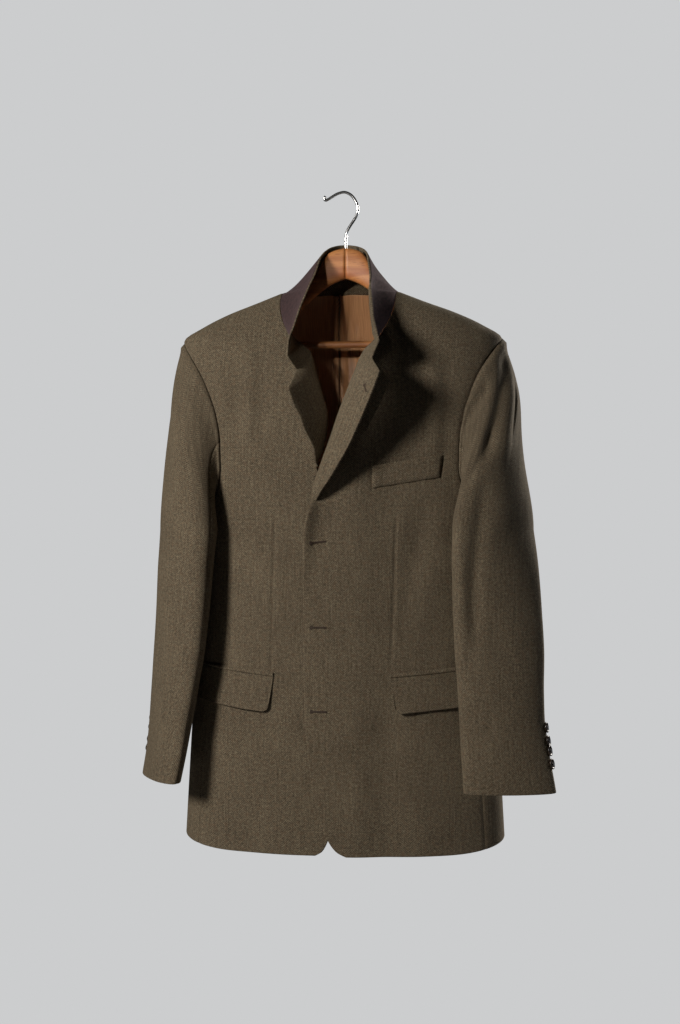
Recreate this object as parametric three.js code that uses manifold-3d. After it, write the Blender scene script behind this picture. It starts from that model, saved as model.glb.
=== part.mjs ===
// A single-breasted three-button blazer with its collar turned up and its lapels standing, hung unbuttoned
// on a contoured wooden hanger. Millimetres, +Z up, the fronts face -Y, the wearer's left is +X.
// The origin is the inside of the hook's arc, where a rod carries it.
import * as THREE from "three";
import { mergeVertices } from "three/addons/utils/BufferGeometryUtils.js";
import Module from "manifold-3d";

const wasm = await Module();
wasm.setup();

// Cloth
const CLOTH = 1.3; // thickness of one layer
const LAYER_GAP = 0.3; // air between two layers
const SEAM_INSET = 0.22; // each piece stops this far short of its seam line
const SQUARENESS = 2.5; // exponent of the body's rings: 2 is an ellipse

// The body as level rings: centre and half width across, depth to the front and to the back.
const BODY = [
  { z: -143, centre: -6, half: 87, front: 32, back: 60 },
  { z: -157, centre: -6, half: 122, front: 44, back: 66 },
  { z: -173, centre: -5, half: 164, front: 56, back: 73 },
  { z: -191, centre: -4, half: 201, front: 66, back: 79 },
  { z: -210, centre: -4, half: 228, front: 75, back: 84 },
  { z: -236, centre: -3, half: 229, front: 83, back: 89 },
  { z: -300, centre: -1, half: 225, front: 91, back: 93 },
  { z: -400, centre: 0, half: 221, front: 96, back: 92 },
  { z: -520, centre: 0, half: 214, front: 95, back: 86 },
  { z: -640, centre: 0, half: 213, front: 92, back: 82 },
  { z: -780, centre: 0, half: 221, front: 90, back: 83 },
  { z: -930, centre: 0, half: 229, front: 89, back: 84 },
];
const NECK_LEVEL = -143;
const NECK_DIP_END = -200; // below this ring the back is level again
const BACK_NECK_RISE = 7; // the centre back neck stands above the shoulder neck point
const CHEST_LEVEL = -446; // the side seams start here
const HEM_LEVEL = -930; // the fronts' hem
const HEM_RISE = 9; // the hem rises by this to the side, and by twice this to the back
const HEM_LIFT = { by: 11, from: 38, to: 90 }; // and by this more over these ring angles

// Where each front ends towards the middle: neck seam, roll line, front edge and rounded corner.
const FRONT_EDGE = [
  { z: -143, right: -88, left: 76 },
  { z: -157, right: -88, left: 76 },
  { z: -173, right: -85, left: 74 },
  { z: -191, right: -79, left: 68 },
  { z: -210, right: -67, left: 58 },
  { z: -217, right: -61, left: 54 },
  { z: -236, right: -39, left: 38 },
  { z: -262, right: -31, left: 28 },
  { z: -290, right: -23, left: 17 },
  { z: -322, right: -15, left: 5 },
  { z: -357, right: -18, left: -7 },
  { z: -392, right: -28, left: -19.5 },
  { z: -422, right: -6, left: -30 },
  { z: -446, right: 3, left: -36 },
  { z: -480, right: 6, left: -43 },
  { z: -557, right: 6, left: -46 },
  { z: -640, right: 6, left: -46 },
  { z: -720, right: 6, left: -45 },
  { z: -780, right: 5, left: -41 },
  { z: -830, right: 1, left: -35 },
  { z: -873, right: -4, left: -25 },
  { z: -900, right: -10, left: -16 },
  { z: -916, right: -16, left: -7 },
  { z: -925, right: -22, left: 2 },
  { z: -930, right: -31, left: 13 },
];
const NECK_ROWS = 6; // rows of FRONT_EDGE from the shoulder to the gorge
// The standing lapel's free edge, from the front at the same level: out to the side, forward and up.
const LAPEL = {
  right: [
    { z: -236, out: 12, forward: 47, up: -27 },
    { z: -262, out: 27, forward: 78, up: -28 },
    { z: -290, out: 28, forward: 70, up: -21 },
    { z: -322, out: 26, forward: 55, up: -14 },
    { z: -357, out: 12, forward: 28, up: -8 },
    { z: -392, out: 0, forward: 0, up: 0 },
  ],
  left: [
    { z: -236, out: 16, forward: 45, up: -11 },
    { z: -262, out: 40, forward: 73, up: -6 },
    { z: -290, out: 39, forward: 68, up: -9 },
    { z: -322, out: 36, forward: 58, up: -10 },
    { z: -357, out: 32, forward: 46, up: -7 },
    { z: -392, out: 22, forward: 30, up: -8 },
    { z: -422, out: 12, forward: 14, up: -5 },
    { z: -446, out: 0, forward: 0, up: 0 },
  ],
};
const LAPEL_STEPS = 3;
const LAPEL_ROLL = 4; // how far the lapel rolls inwards before it turns forward
const LAPEL_ROLL_FULL = 60; // a lapel that stands this far forward has the whole roll
const LAPEL_BEND = { forward: 0.4, up: 0.3 }; // where its curve bends, as parts of its reach

// The collar's free edge, station by station from the gorge notch round to the centre back.
const COLLAR_RIM = {
  right: [
    { x: -51, y: -130, z: -263 },
    { x: -62, y: -150, z: -244 },
    { x: -62, y: -143, z: -226 },
    { x: -61, y: -135, z: -216 },
    { x: -58, y: -124, z: -204 },
    { x: -52, y: -104, z: -176 },
    { x: -43, y: -78, z: -144 },
    { x: -36, y: -50, z: -118 },
    { x: -32, y: -22, z: -93 },
    { x: -27, y: -2, z: -81 },
    { x: -20, y: 12, z: -74 },
    { x: -10, y: 23, z: -70 },
    { x: 1, y: 28, z: -69 },
  ],
  left: [
    { x: 54, y: -133, z: -247 },
    { x: 65, y: -150, z: -225 },
    { x: 61, y: -141, z: -211 },
    { x: 58, y: -130, z: -202 },
    { x: 54, y: -114, z: -190 },
    { x: 50, y: -92, z: -168 },
    { x: 45, y: -64, z: -143 },
    { x: 41, y: -38, z: -120 },
    { x: 36, y: -16, z: -97 },
    { x: 32, y: 2, z: -83 },
    { x: 25, y: 13, z: -76 },
    { x: 13, y: 23, z: -71 },
    { x: 1, y: 28, z: -69 },
  ],
};
const COLLAR_STEPS = 3;
const COLLAR_HOLLOW = 4; // the collar bows in by this between its seam and its rim

// The armhole from the shoulder point to its foot: ring angles of its front and back edges, and the
// place round the sleeve that meets each, in degrees.
const ARMHOLE = [
  { z: -210, front: 90, back: 90, around: 0 },
  { z: -217, front: 75, back: 105, around: 17 },
  { z: -236, front: 62, back: 117, around: 36 },
  { z: -262, front: 54, back: 125, around: 53 },
  { z: -290, front: 49.5, back: 129, around: 68 },
  { z: -322, front: 46, back: 131, around: 84 },
  { z: -357, front: 44.5, back: 131, around: 101 },
  { z: -392, front: 44.5, back: 129, around: 118 },
  { z: -422, front: 47, back: 126, around: 134 },
  { z: -446, front: 54, back: 122, around: 149 },
  { z: -461, front: 68, back: 110, around: 164 },
  { z: -468, front: 90, back: 90, around: 180 },
];
const SIDE_START = 9; // the row of ARMHOLE where the side body joins
const SIDE_SEAM = { frontTop: 54, frontHem: 56.5, backTop: 122, backHem: 118 };

// Sleeves as level rings from the biceps to the cuff. turn swings the front edge in towards the body.
const SLEEVE = {
  left: [
    { z: -480, x: 214, y: -66, broad: 66, deep: 30, turn: 52 },
    { z: -530, x: 217, y: -76, broad: 65, deep: 29, turn: 62 },
    { z: -590, x: 220, y: -82, broad: 64, deep: 27, turn: 70 },
    { z: -645, x: 223, y: -86, broad: 63, deep: 25, turn: 75 },
    { z: -700, x: 225, y: -89, broad: 60, deep: 23, turn: 77 },
    { z: -745, x: 227, y: -91, broad: 59, deep: 22, turn: 78 },
    { z: -790, x: 231, y: -94, broad: 60, deep: 20, turn: 80 },
    { z: -837, x: 236, y: -97, broad: 62, deep: 19, turn: 80 },
  ],
  right: [
    { z: -480, x: -215, y: -58, broad: 64, deep: 34, turn: 36 },
    { z: -530, x: -219, y: -60, broad: 64, deep: 31, turn: 37 },
    { z: -590, x: -223, y: -60, broad: 63, deep: 28, turn: 38 },
    { z: -645, x: -228, y: -60, broad: 62, deep: 26, turn: 38 },
    { z: -700, x: -235, y: -58, broad: 61, deep: 24, turn: 36 },
    { z: -745, x: -241, y: -56, broad: 61, deep: 23, turn: 33 },
    { z: -790, x: -248, y: -53, broad: 66, deep: 21, turn: 30 },
    { z: -831, x: -256, y: -51, broad: 71, deep: 20, turn: 28 },
  ],
};
const SLEEVE_CAP_STEPS = 6; // rings between the armhole and the biceps
const SLEEVE_CLEARANCE = 3.5; // between a sleeve and the body beside it
const CLEAR_REACH = 120; // no point of a sleeve has to move further than this to be clear
const UNDERARM = { from: 125, to: 235 }; // places round the sleeve where it folds back beside the body
const CAP_REACH = { sides: 0.55, top: 0.25 }; // how squarely the sleeve leaves the armhole
const FOREARM_SEAM = 6; // row of ARMHOLE that the front sleeve seam starts from
const HIND_SEAM = 6; // row of ARMHOLE that the hind sleeve seam starts from

// The left front laps over the right one and stands off it by the thickness of a button.
const LAP_LIFT = 7;
const LAP_FULL = 20; // full lift towards the middle from this x
const LAP_NONE = 76; // no lift outside this x

// Lining
const LINING_THICK = 1;
const PLEAT = { x: -4, deep: 5, wide: 9, end: -520 };
const PLEAT_STEPS = [0.5, 0.8]; // extra points beside the centre back, for the pleat
const LINING_HEM_ROWS = 3; // the lining stops this many rows above the hem
const LINING_CLEAR = -240; // above this level it stays between the hanger's arms and the back
const LINING_TOP = 0.25; // how far down its first row the lining starts

// Pockets, as front-view corners: inner top, outer top, outer bottom, inner bottom.
const WELT = [
  { x: 50, z: -392 },
  { x: 145, z: -377 },
  { x: 141, z: -407 },
  { x: 50, z: -422 },
];
const FLAP = { inner: 73, outer: 206, topInner: -684, topOuter: -673, deep: 49, slant: 6, corner: 9 };
const RIGHT_FLAP_SHIFT = 16; // the right flap sits this much further from the middle
const JET = { high: 5, gap: 0.8 };
const ON_PANEL = 1; // pocket pieces lie this far off the panel
const FLAP_THICK = 1.6;
const JET_THICK = 1;
const FLAP_ROUND_TO = 0.08; // the corner's rounding reaches this part of the flap's width

// Buttons
const FRONT_BUTTON = { radius: 10, thick: 3.2, x: -14, heights: [-498, -614, -730] };
const CUFF_BUTTON = { radius: 7.4, thick: 2.6, top: -751, pitch: 15.3, count: 4, around: -84 };
const BUTTON_SEAT = 0.35;

// Hanger: half outline of an arm, from the mitre outwards.
const HANGER_CENTRE = 1.5;
const ARM = [
  { out: 0.15, top: -78, bottom: -122, half: 8 },
  { out: 12, top: -80, bottom: -126, half: 8.2 },
  { out: 24, top: -85, bottom: -132, half: 8.6 },
  { out: 34, top: -99, bottom: -139, half: 9 },
  { out: 50, top: -125, bottom: -152, half: 10 },
  { out: 68, top: -145, bottom: -169, half: 12 },
  { out: 92, top: -160, bottom: -183, half: 15 },
  { out: 125, top: -168, bottom: -194, half: 18 },
  { out: 160, top: -177, bottom: -204, half: 20 },
  { out: 180, top: -186, bottom: -226, half: 20 },
  { out: 200, top: -198, bottom: -230, half: 18 },
  { out: 209, top: -208, bottom: -224, half: 12 },
];
const SHOULDER_REST = 0.6; // the cloth rests this far off the wood
const CLOTH_SLOPE = 1.15; // cloth is this much thicker straight down, on a sloping shoulder
const ARM_RAISE = 12; // an arm rises at most this far to meet the shoulder
const ARM_SQUARENESS = 3; // exponent of an arm's section
const SEAT_FROM = 110; // the arms carry the shoulders outside this distance
const BAR = { z: -216, radius: 5, end: 183, clearance: 0.3 };
const BAR_SIDES = 16;
const WIRE = 2; // radius of the hook's wire
const STEM_HOLE = { middle: -86.5, deep: 40, sides: 12 };
const HOOK = [
  { x: -27.5, z: -3.5 },
  { x: -29.6, z: -6 },
  { x: -28, z: -9 },
  { x: -24, z: -7.6 },
  { x: -18, z: -4 },
  { x: -9, z: 0.6 },
  { x: 0, z: WIRE },
  { x: 8, z: -1.5 },
  { x: 14.5, z: -9 },
  { x: 18.3, z: -19 },
  { x: 17.4, z: -30 },
  { x: 13.2, z: -38 },
  { x: 7.5, z: -46.5 },
  { x: 3, z: -55 },
  { x: HANGER_CENTRE, z: -64 },
  { x: HANGER_CENTRE, z: -78 },
  { x: HANGER_CENTRE, z: -106 },
];

const FINISH = {
  cloth: { color: 0x5c5140, roughness: 0.9, metalness: 0 },
  melton: { color: 0x5a444a, roughness: 0.95, metalness: 0 },
  lining: { color: 0xa06c48, roughness: 0.45, metalness: 0 },
  horn: { color: 0x2e251e, roughness: 0.4, metalness: 0 },
  wood: { color: 0xb87d50, roughness: 0.5, metalness: 0 },
  chrome: { color: 0xc8c8c8, roughness: 0.2, metalness: 1 },
};

const rad = THREE.MathUtils.degToRad;
const lerp = THREE.MathUtils.lerp;
const smooth = THREE.MathUtils.smoothstep;
const v3 = (x, y, z) => new THREE.Vector3(x, y, z);
const SIDE = { left: 1, right: -1 };
const HALVINGS = 40; // of a range, in a search by halves

// A named column of a table that falls in z, read between its rows by a monotone cubic.
function column(table, name, z) {
  if (z >= table[0].z) return table[0][name];
  const last = table.length - 1;
  if (z <= table[last].z) return table[last][name];
  const i = table.findIndex((row) => row.z < z) - 1;
  const slope = (k) => (table[k + 1][name] - table[k][name]) / (table[k + 1].z - table[k].z);
  const tangent = (k) => {
    if (k === 0) return slope(0);
    if (k === last) return slope(last - 1);
    const [a, b] = [slope(k - 1), slope(k)];
    return a * b <= 0 ? 0 : (2 * a * b) / (a + b);
  };
  const step = table[i + 1].z - table[i].z;
  const t = (z - table[i].z) / step;
  const a = 2 * t ** 3 - 3 * t ** 2 + 1;
  return (
    a * table[i][name] +
    (1 - a) * table[i + 1][name] +
    (t ** 3 - 2 * t ** 2 + t) * step * tangent(i) +
    (t ** 3 - t ** 2) * step * tangent(i + 1)
  );
}

// How far the neck and the hem leave their level ring at an angle round the body.
function levelShift(angle, z) {
  const away = Math.abs(angle);
  const high = 1 - smooth(-z, -NECK_LEVEL, -NECK_DIP_END);
  const neck = away > 90 ? BACK_NECK_RISE * smooth(away, 90, 180) * high : 0;
  const hem = HEM_RISE * (1 - Math.cos(rad(angle))) + HEM_LIFT.by * smooth(away, HEM_LIFT.from, HEM_LIFT.to);
  return neck + hem * smooth(-z, -CHEST_LEVEL, -HEM_LEVEL);
}

// A point of the body. angle is 0 at the centre front, 90 at the wearer's left side, 180 at the back.
function body(angle, z) {
  const s = Math.sin(rad(angle));
  const c = Math.cos(rad(angle));
  const reach = (Math.abs(s) ** SQUARENESS + Math.abs(c) ** SQUARENESS) ** (-1 / SQUARENESS);
  const depth = column(BODY, c > 0 ? "front" : "back", z);
  return v3(
    column(BODY, "centre", z) + column(BODY, "half", z) * reach * s,
    -depth * reach * c,
    z + levelShift(angle, z),
  );
}

// The ring angle of the front at a given x.
function angleAt(x, z) {
  const side = x < column(BODY, "centre", z) ? -1 : 1;
  let [low, high] = [0, 90];
  for (let i = 0; i < HALVINGS; i++) {
    const mid = (low + high) / 2;
    if ((body(side * mid, z).x - x) * side < 0) low = mid;
    else high = mid;
  }
  return (side * (low + high)) / 2;
}

// A point of one front: the left one lifts off the right one where they lap.
function front(side, angle, z) {
  const p = body(angle, z);
  if (side === "left" && Math.abs(angle) < 90) p.y -= LAP_LIFT * (1 - smooth(p.x, LAP_FULL, LAP_NONE));
  return p;
}

// ---- Sheets: a net of points and faces, shared seam points between neighbours ----

const seamNormals = new Map();
const key = (p) => [p.x, p.y, p.z].map((n) => Math.round(n * 20)).join();

// rows is a list of equal rows of points. Cells whose corners are missing are left out.
function net(rows, facing) {
  const points = [];
  const index = new Map();
  const id = (p) => {
    const k = key(p);
    if (!index.has(k)) {
      index.set(k, points.length);
      points.push(p);
    }
    return index.get(k);
  };
  const faces = [];
  for (let i = 0; i + 1 < rows.length; i++)
    for (let j = 0; j + 1 < rows[i].length; j++) {
      const corners = [rows[i][j], rows[i][j + 1], rows[i + 1][j + 1], rows[i + 1][j]];
      if (corners.some((p) => !p)) continue;
      const [a, b, c, d] = corners.map(id);
      const across = corners[0].distanceTo(corners[2]) > corners[1].distanceTo(corners[3]);
      for (const face of across ? [[a, b, d], [b, c, d]] : [[a, b, c], [a, c, d]])
        if (new Set(face).size === 3) faces.push(face);
    }
  const sheet = { points, faces };
  let agree = 0;
  for (const face of faces) {
    const middle = face.reduce((sum, i) => sum.add(points[i]), v3(0, 0, 0)).divideScalar(3);
    agree += faceNormal(sheet, face).dot(facing(middle));
  }
  if (agree < 0) faces.forEach((face) => face.reverse());
  return sheet;
}

function faceNormal({ points }, [a, b, c]) {
  const ab = points[b].clone().sub(points[a]);
  return ab.cross(points[c].clone().sub(points[a]));
}

// Adds each face's normal to the points it touches, over all the outer sheets.
function gatherNormals(sheets) {
  for (const sheet of sheets)
    for (const face of sheet.faces) {
      const n = faceNormal(sheet, face).normalize();
      for (const i of face) {
        const k = key(sheet.points[i]);
        seamNormals.set(k, (seamNormals.get(k) ?? v3(0, 0, 0)).add(n));
      }
    }
}

function ownNormals(sheet) {
  const normals = sheet.points.map(() => v3(0, 0, 0));
  for (const face of sheet.faces) {
    const n = faceNormal(sheet, face).normalize();
    face.forEach((i) => normals[i].add(n));
  }
  return normals.map((n) => n.normalize());
}

// The normals shared along a seam, but a sheet's own under the arm, where its neighbour folds back on it.
function sharedNormals(sheet) {
  const own = ownNormals(sheet);
  return sheet.points.map((p, i) => {
    const k = key(p);
    return underarm.has(k) ? own[i] : seamNormals.get(k).clone().normalize();
  });
}

// A closed wall: the net moved out to `outer` along its normals, and down to `outer - thick`.
function wall(sheet, normals, outer = 0, thick = CLOTH) {
  const edges = new Map();
  for (const face of sheet.faces)
    face.forEach((a, i) => {
      const b = face[(i + 1) % 3];
      if (!edges.delete(`${b},${a}`)) edges.set(`${a},${b}`, { a, b, face });
    });
  const inward = sheet.points.map(() => []);
  for (const { a, b, face } of edges.values()) {
    const along = sheet.points[b].clone().sub(sheet.points[a]);
    const n = faceNormal(sheet, face).cross(along).normalize();
    inward[a].push(n);
    inward[b].push(n);
  }
  const inset = sheet.points.map((p, i) => {
    if (!inward[i].length) return p.clone();
    const sum = inward[i].reduce((s, n) => s.add(n), v3(0, 0, 0));
    const mitre = (SEAM_INSET * inward[i].length) / Math.max(sum.lengthSq(), 1);
    return p.clone().addScaledVector(sum, mitre);
  });
  const n = inset.length;
  const vertices = [
    ...inset.map((p, i) => p.clone().addScaledVector(normals[i], outer)),
    ...inset.map((p, i) => p.clone().addScaledVector(normals[i], outer - thick)),
  ];
  const faces = [];
  for (const [a, b, c] of sheet.faces) faces.push([a, b, c], [c + n, b + n, a + n]);
  for (const { a, b } of edges.values()) faces.push([b, a, a + n], [b, a + n, b + n]);
  return meshGeometry(vertices, faces);
}

function meshGeometry(vertices, faces) {
  const geometry = new THREE.BufferGeometry();
  const numbers = vertices.flatMap((p) => p.toArray());
  geometry.setAttribute("position", new THREE.Float32BufferAttribute(numbers, 3));
  geometry.setIndex(faces.flat());
  geometry.computeVertexNormals();
  return geometry;
}

const blazer = new THREE.Group();

function add(name, geometry, finish) {
  const mesh = new THREE.Mesh(geometry, new THREE.MeshStandardMaterial(FINISH[finish]));
  mesh.name = name;
  blazer.add(mesh);
}

const steps = (count) => Array.from({ length: count + 1 }, (_, i) => i / count);
const fromBody = (p) => v3(p.x, p.y, 0);

// ---- Fronts with their lapels ----

const FRONT_STEPS = 6;

// One row of the lapel, from its free edge to just before the roll line.
function lapelRow(side, level) {
  const row = LAPEL[side].find((r) => r.z === level);
  if (!row) return Array(LAPEL_STEPS).fill(null);
  const edge = FRONT_EDGE.find((r) => r.z === level);
  const base = front(side, angleAt(edge[side], level), level);
  const sign = SIDE[side];
  const tip = base.clone().add(v3(sign * row.out, -row.forward, row.up));
  const roll = LAPEL_ROLL * Math.min(1, row.forward / LAPEL_ROLL_FULL);
  const { forward, up } = LAPEL_BEND;
  const bend = base.clone().add(v3(-sign * roll, -row.forward * forward, row.up * up));
  const curve = new THREE.QuadraticBezierCurve3(tip, bend, base);
  return steps(LAPEL_STEPS).slice(0, -1).map((t) => curve.getPoint(t));
}

function sideSeam(z, where) {
  const t = (z - CHEST_LEVEL) / (HEM_LEVEL - CHEST_LEVEL);
  return lerp(SIDE_SEAM[`${where}Top`], SIDE_SEAM[`${where}Hem`], t);
}

// The ring angle where a front or back panel ends at the side.
function outerAngle(z, where) {
  const hole = ARMHOLE.find((row) => row.z === z);
  if (hole) return hole[where];
  return z > CHEST_LEVEL ? 90 : sideSeam(z, where);
}

function frontRows(side) {
  return FRONT_EDGE.map((row) => {
    const inner = angleAt(row[side], row.z);
    const outer = SIDE[side] * outerAngle(row.z, "front");
    const panel = steps(FRONT_STEPS).map((t) => front(side, lerp(inner, outer, t), row.z));
    return [...lapelRow(side, row.z), ...panel];
  });
}

// ---- Backs, sides ----

const BACK_STEPS = 5;
const backRows = (side) =>
  FRONT_EDGE.map(({ z }) => {
    const outer = outerAngle(z, "back");
    return steps(BACK_STEPS).map((t) => body(SIDE[side] * lerp(outer, 180, t), z));
  });

function sideRows(side) {
  const foot = ARMHOLE.slice(SIDE_START);
  const top = [...foot.map((r) => [r.front, r.z]), ...foot.slice(0, -1).reverse().map((r) => [r.back, r.z])];
  const rows = [top.map(([angle, z]) => body(SIDE[side] * angle, z))];
  for (const { z } of FRONT_EDGE.filter((row) => row.z < CHEST_LEVEL)) {
    const [a, b] = [sideSeam(z, "front"), sideSeam(z, "back")];
    rows.push(steps(top.length - 1).map((t) => body(SIDE[side] * lerp(a, b, t), z)));
  }
  return rows;
}

// ---- Collar ----

// The neck seam from the gorge up to the shoulder and round to the centre back.
function neckSeam(side) {
  const up = FRONT_EDGE.slice(0, NECK_ROWS + 1).reverse();
  const forward = up.map((row) => front(side, angleAt(row[side], row.z), row.z));
  const behind = steps(BACK_STEPS).map((t) => body(SIDE[side] * lerp(90, 180, t), NECK_LEVEL));
  return [...forward, ...behind];
}

function collarRows(side) {
  const rim = COLLAR_RIM[side];
  return neckSeam(side).map((p, i) => {
    if (i === 0) return [p, ...lapelRow(side, FRONT_EDGE[NECK_ROWS].z).reverse()];
    const edge = v3(rim[i].x, rim[i].y, rim[i].z);
    const bend = p.clone().lerp(edge, 0.5).sub(v3(SIDE[side] * COLLAR_HOLLOW * 0.5, 0, COLLAR_HOLLOW));
    const curve = new THREE.QuadraticBezierCurve3(p, bend, edge);
    return steps(COLLAR_STEPS).map((t) => curve.getPoint(t));
  });
}

// ---- Sleeves ----

// The places round the sleeve, one for each point of the armhole, from the top over the front.
const ROUND = [
  ...ARMHOLE.map((row) => ({ around: row.around, angle: row.front, z: row.z })),
  ...ARMHOLE.slice(1, -1).reverse().map((row) => ({ around: 360 - row.around, angle: row.back, z: row.z })),
];

const underarm = new Set(
  ["left", "right"].flatMap((side) =>
    ROUND.filter(({ around }) => around > UNDERARM.from && around < UNDERARM.to).map(({ angle, z }) =>
      key(body(SIDE[side] * angle, z)),
    ),
  ),
);

function sleevePoint(side, ring, around) {
  const sign = SIDE[side];
  const turn = rad(ring.turn);
  const [ahead, out] = [ring.broad * Math.sin(rad(around)), ring.deep * Math.cos(rad(around))];
  return v3(
    ring.x + sign * (out * Math.cos(turn) - ahead * Math.sin(turn)),
    ring.y - ahead * Math.cos(turn) - out * Math.sin(turn),
    ring.z,
  );
}

// Moves a point of a sleeve out of the body, to a clearance beside it.
function clearOfBody(p, clearance) {
  const centre = column(BODY, "centre", p.z);
  const half = column(BODY, "half", p.z) + clearance;
  const depth = column(BODY, p.y < 0 ? "front" : "back", p.z) + clearance;
  const size = (Math.abs((p.x - centre) / half) ** SQUARENESS + Math.abs(p.y / depth) ** SQUARENESS) **
    (1 / SQUARENESS);
  if (size >= 1) return p;
  const grow = (x, n) => Math.sign(x) * (Math.abs(x) ** (SQUARENESS - 1)) / n ** SQUARENESS;
  const normal = v3(grow(p.x - centre, half), grow(p.y, depth), 0).normalize();
  let [low, high] = [0, CLEAR_REACH];
  for (let i = 0; i < HALVINGS; i++) {
    const mid = (low + high) / 2;
    const q = p.clone().addScaledVector(normal, mid);
    const inside = Math.abs((q.x - centre) / half) ** SQUARENESS + Math.abs(q.y / depth) ** SQUARENESS < 1;
    if (inside) low = mid;
    else high = mid;
  }
  return p.clone().addScaledVector(normal, high);
}

function sleeveRings(side) {
  const rings = SLEEVE[side];
  const rows = steps(SLEEVE_CAP_STEPS).slice(0, -1).map((t) =>
    ROUND.map(({ around, angle, z }) => {
      const start = body(SIDE[side] * angle, z);
      if (t === 0) return start;
      const end = sleevePoint(side, rings[0], around);
      const length = start.distanceTo(end);
      const reach = lerp(CAP_REACH.top, CAP_REACH.sides, Math.abs(Math.sin(rad(around))));
      const off = start.clone().setZ(0).sub(v3(column(BODY, "centre", z), 0, 0)).normalize();
      const leave = off.multiplyScalar(reach).add(v3(0, 0, reach - 1)).multiplyScalar(length);
      const arrive = v3(0, 0, -length);
      const [a, b] = [2 * t ** 3 - 3 * t ** 2 + 1, t ** 3 - 2 * t ** 2 + t];
      const p = start.clone().multiplyScalar(a).addScaledVector(end, 1 - a);
      p.addScaledVector(leave, b).addScaledVector(arrive, t ** 3 - t ** 2);
      return clearOfBody(p, SLEEVE_CLEARANCE);
    }),
  );
  for (const ring of rings)
    rows.push(ROUND.map(({ around }) => clearOfBody(sleevePoint(side, ring, around), SLEEVE_CLEARANCE)));
  return rows;
}

// The top sleeve runs over the outside from the hind seam to the forearm seam, the under sleeve inside.
const HIND = ROUND.length - HIND_SEAM;
const takeTop = (row) => [...row.slice(HIND), ...row.slice(0, FOREARM_SEAM + 1)];
const takeUnder = (row) => row.slice(FOREARM_SEAM, HIND + 1);
const outOfSleeve = (side) => (p) => {
  const z = Math.min(p.z, SLEEVE[side][0].z);
  return v3(p.x - column(SLEEVE[side], "x", z), p.y - column(SLEEVE[side], "y", z), 0);
};

// ---- Every outer sheet of cloth ----

const outer = {};
for (const side of ["left", "right"]) {
  outer[`${side}_front`] = net(frontRows(side), fromBody);
  outer[`${side}_back`] = net(backRows(side), fromBody);
  outer[`${side}_side`] = net(sideRows(side), fromBody);
  const rings = sleeveRings(side);
  outer[`${side}_top_sleeve`] = net(rings.map(takeTop), outOfSleeve(side));
  outer[`${side}_under_sleeve`] = net(rings.map(takeUnder), outOfSleeve(side));
}
const collar = net([...collarRows("right"), ...collarRows("left").reverse().slice(1)], fromBody);
gatherNormals([...Object.values(outer), collar]);

for (const [name, sheet] of Object.entries(outer)) add(name, wall(sheet, sharedNormals(sheet)), "cloth");
const collarNormals = sharedNormals(collar);
add("undercollar", wall(collar, collarNormals), "melton");
const SECOND_LAYER = -CLOTH - LAYER_GAP;
add("top_collar", wall(collar, collarNormals, SECOND_LAYER), "cloth");

// The facing lies inside the lapel and the first stretch of the front beside the roll line.
for (const side of ["left", "right"]) {
  const levels = LAPEL[side].map((row) => row.z);
  const rows = frontRows(side)
    .filter((_, i) => levels.includes(FRONT_EDGE[i].z))
    .map((row) => row.slice(0, LAPEL_STEPS + 2));
  const facing = net(rows, fromBody);
  add(`${side}_facing`, wall(facing, sharedNormals(facing), SECOND_LAYER), "cloth");
}

// The back lining hangs inside both backs, made from their points, with a pleat folded into its middle.
function liningRows() {
  const half = (row, z) => {
    const [last, middle] = row.slice(-2);
    const near = PLEAT_STEPS.map((t) => last.clone().lerp(middle, t));
    return [z > LINING_CLEAR ? null : row[1], ...row.slice(2, -1), ...near];
  };
  const [right, left] = ["right", "left"].map(backRows);
  const rows = right.map((row, i) => {
    const { z } = FRONT_EDGE[i];
    return [...half(row, z), row.at(-1), ...half(left[i], z).reverse()];
  });
  rows[0] = rows[0].map((p, j) => p && p.clone().lerp(rows[1][j] ?? p, LINING_TOP));
  return rows.slice(0, -LINING_HEM_ROWS);
}
const lining = net(liningRows(), fromBody);
const liningNormals = ownNormals(lining);
for (const p of lining.points) {
  const fade = 1 - smooth(-p.z, -CHEST_LEVEL, -PLEAT.end);
  p.y -= PLEAT.deep * fade * Math.max(0, 1 - Math.abs(p.x - PLEAT.x) / PLEAT.wide);
}
add("back_lining", wall(lining, liningNormals, SECOND_LAYER - LAYER_GAP, LINING_THICK), "lining");

// ---- Pockets ----

// A piece that lies on a front, from a function that gives its front-view place.
function onFront(side, place, columns, rows) {
  const lines = steps(rows).map((v) =>
    steps(columns).map((u) => {
      const { x, z } = place(u, v);
      return front(side, angleAt(x, z), z);
    }),
  );
  return net(lines, fromBody);
}

const welt = onFront("left", (u, v) => ({
  x: lerp(lerp(WELT[0].x, WELT[1].x, u), lerp(WELT[3].x, WELT[2].x, u), v),
  z: lerp(lerp(WELT[0].z, WELT[1].z, u), lerp(WELT[3].z, WELT[2].z, u), v),
}), 7, 2);
add("breast_welt", wall(welt, ownNormals(welt), ON_PANEL + FLAP_THICK, FLAP_THICK), "cloth");

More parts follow.
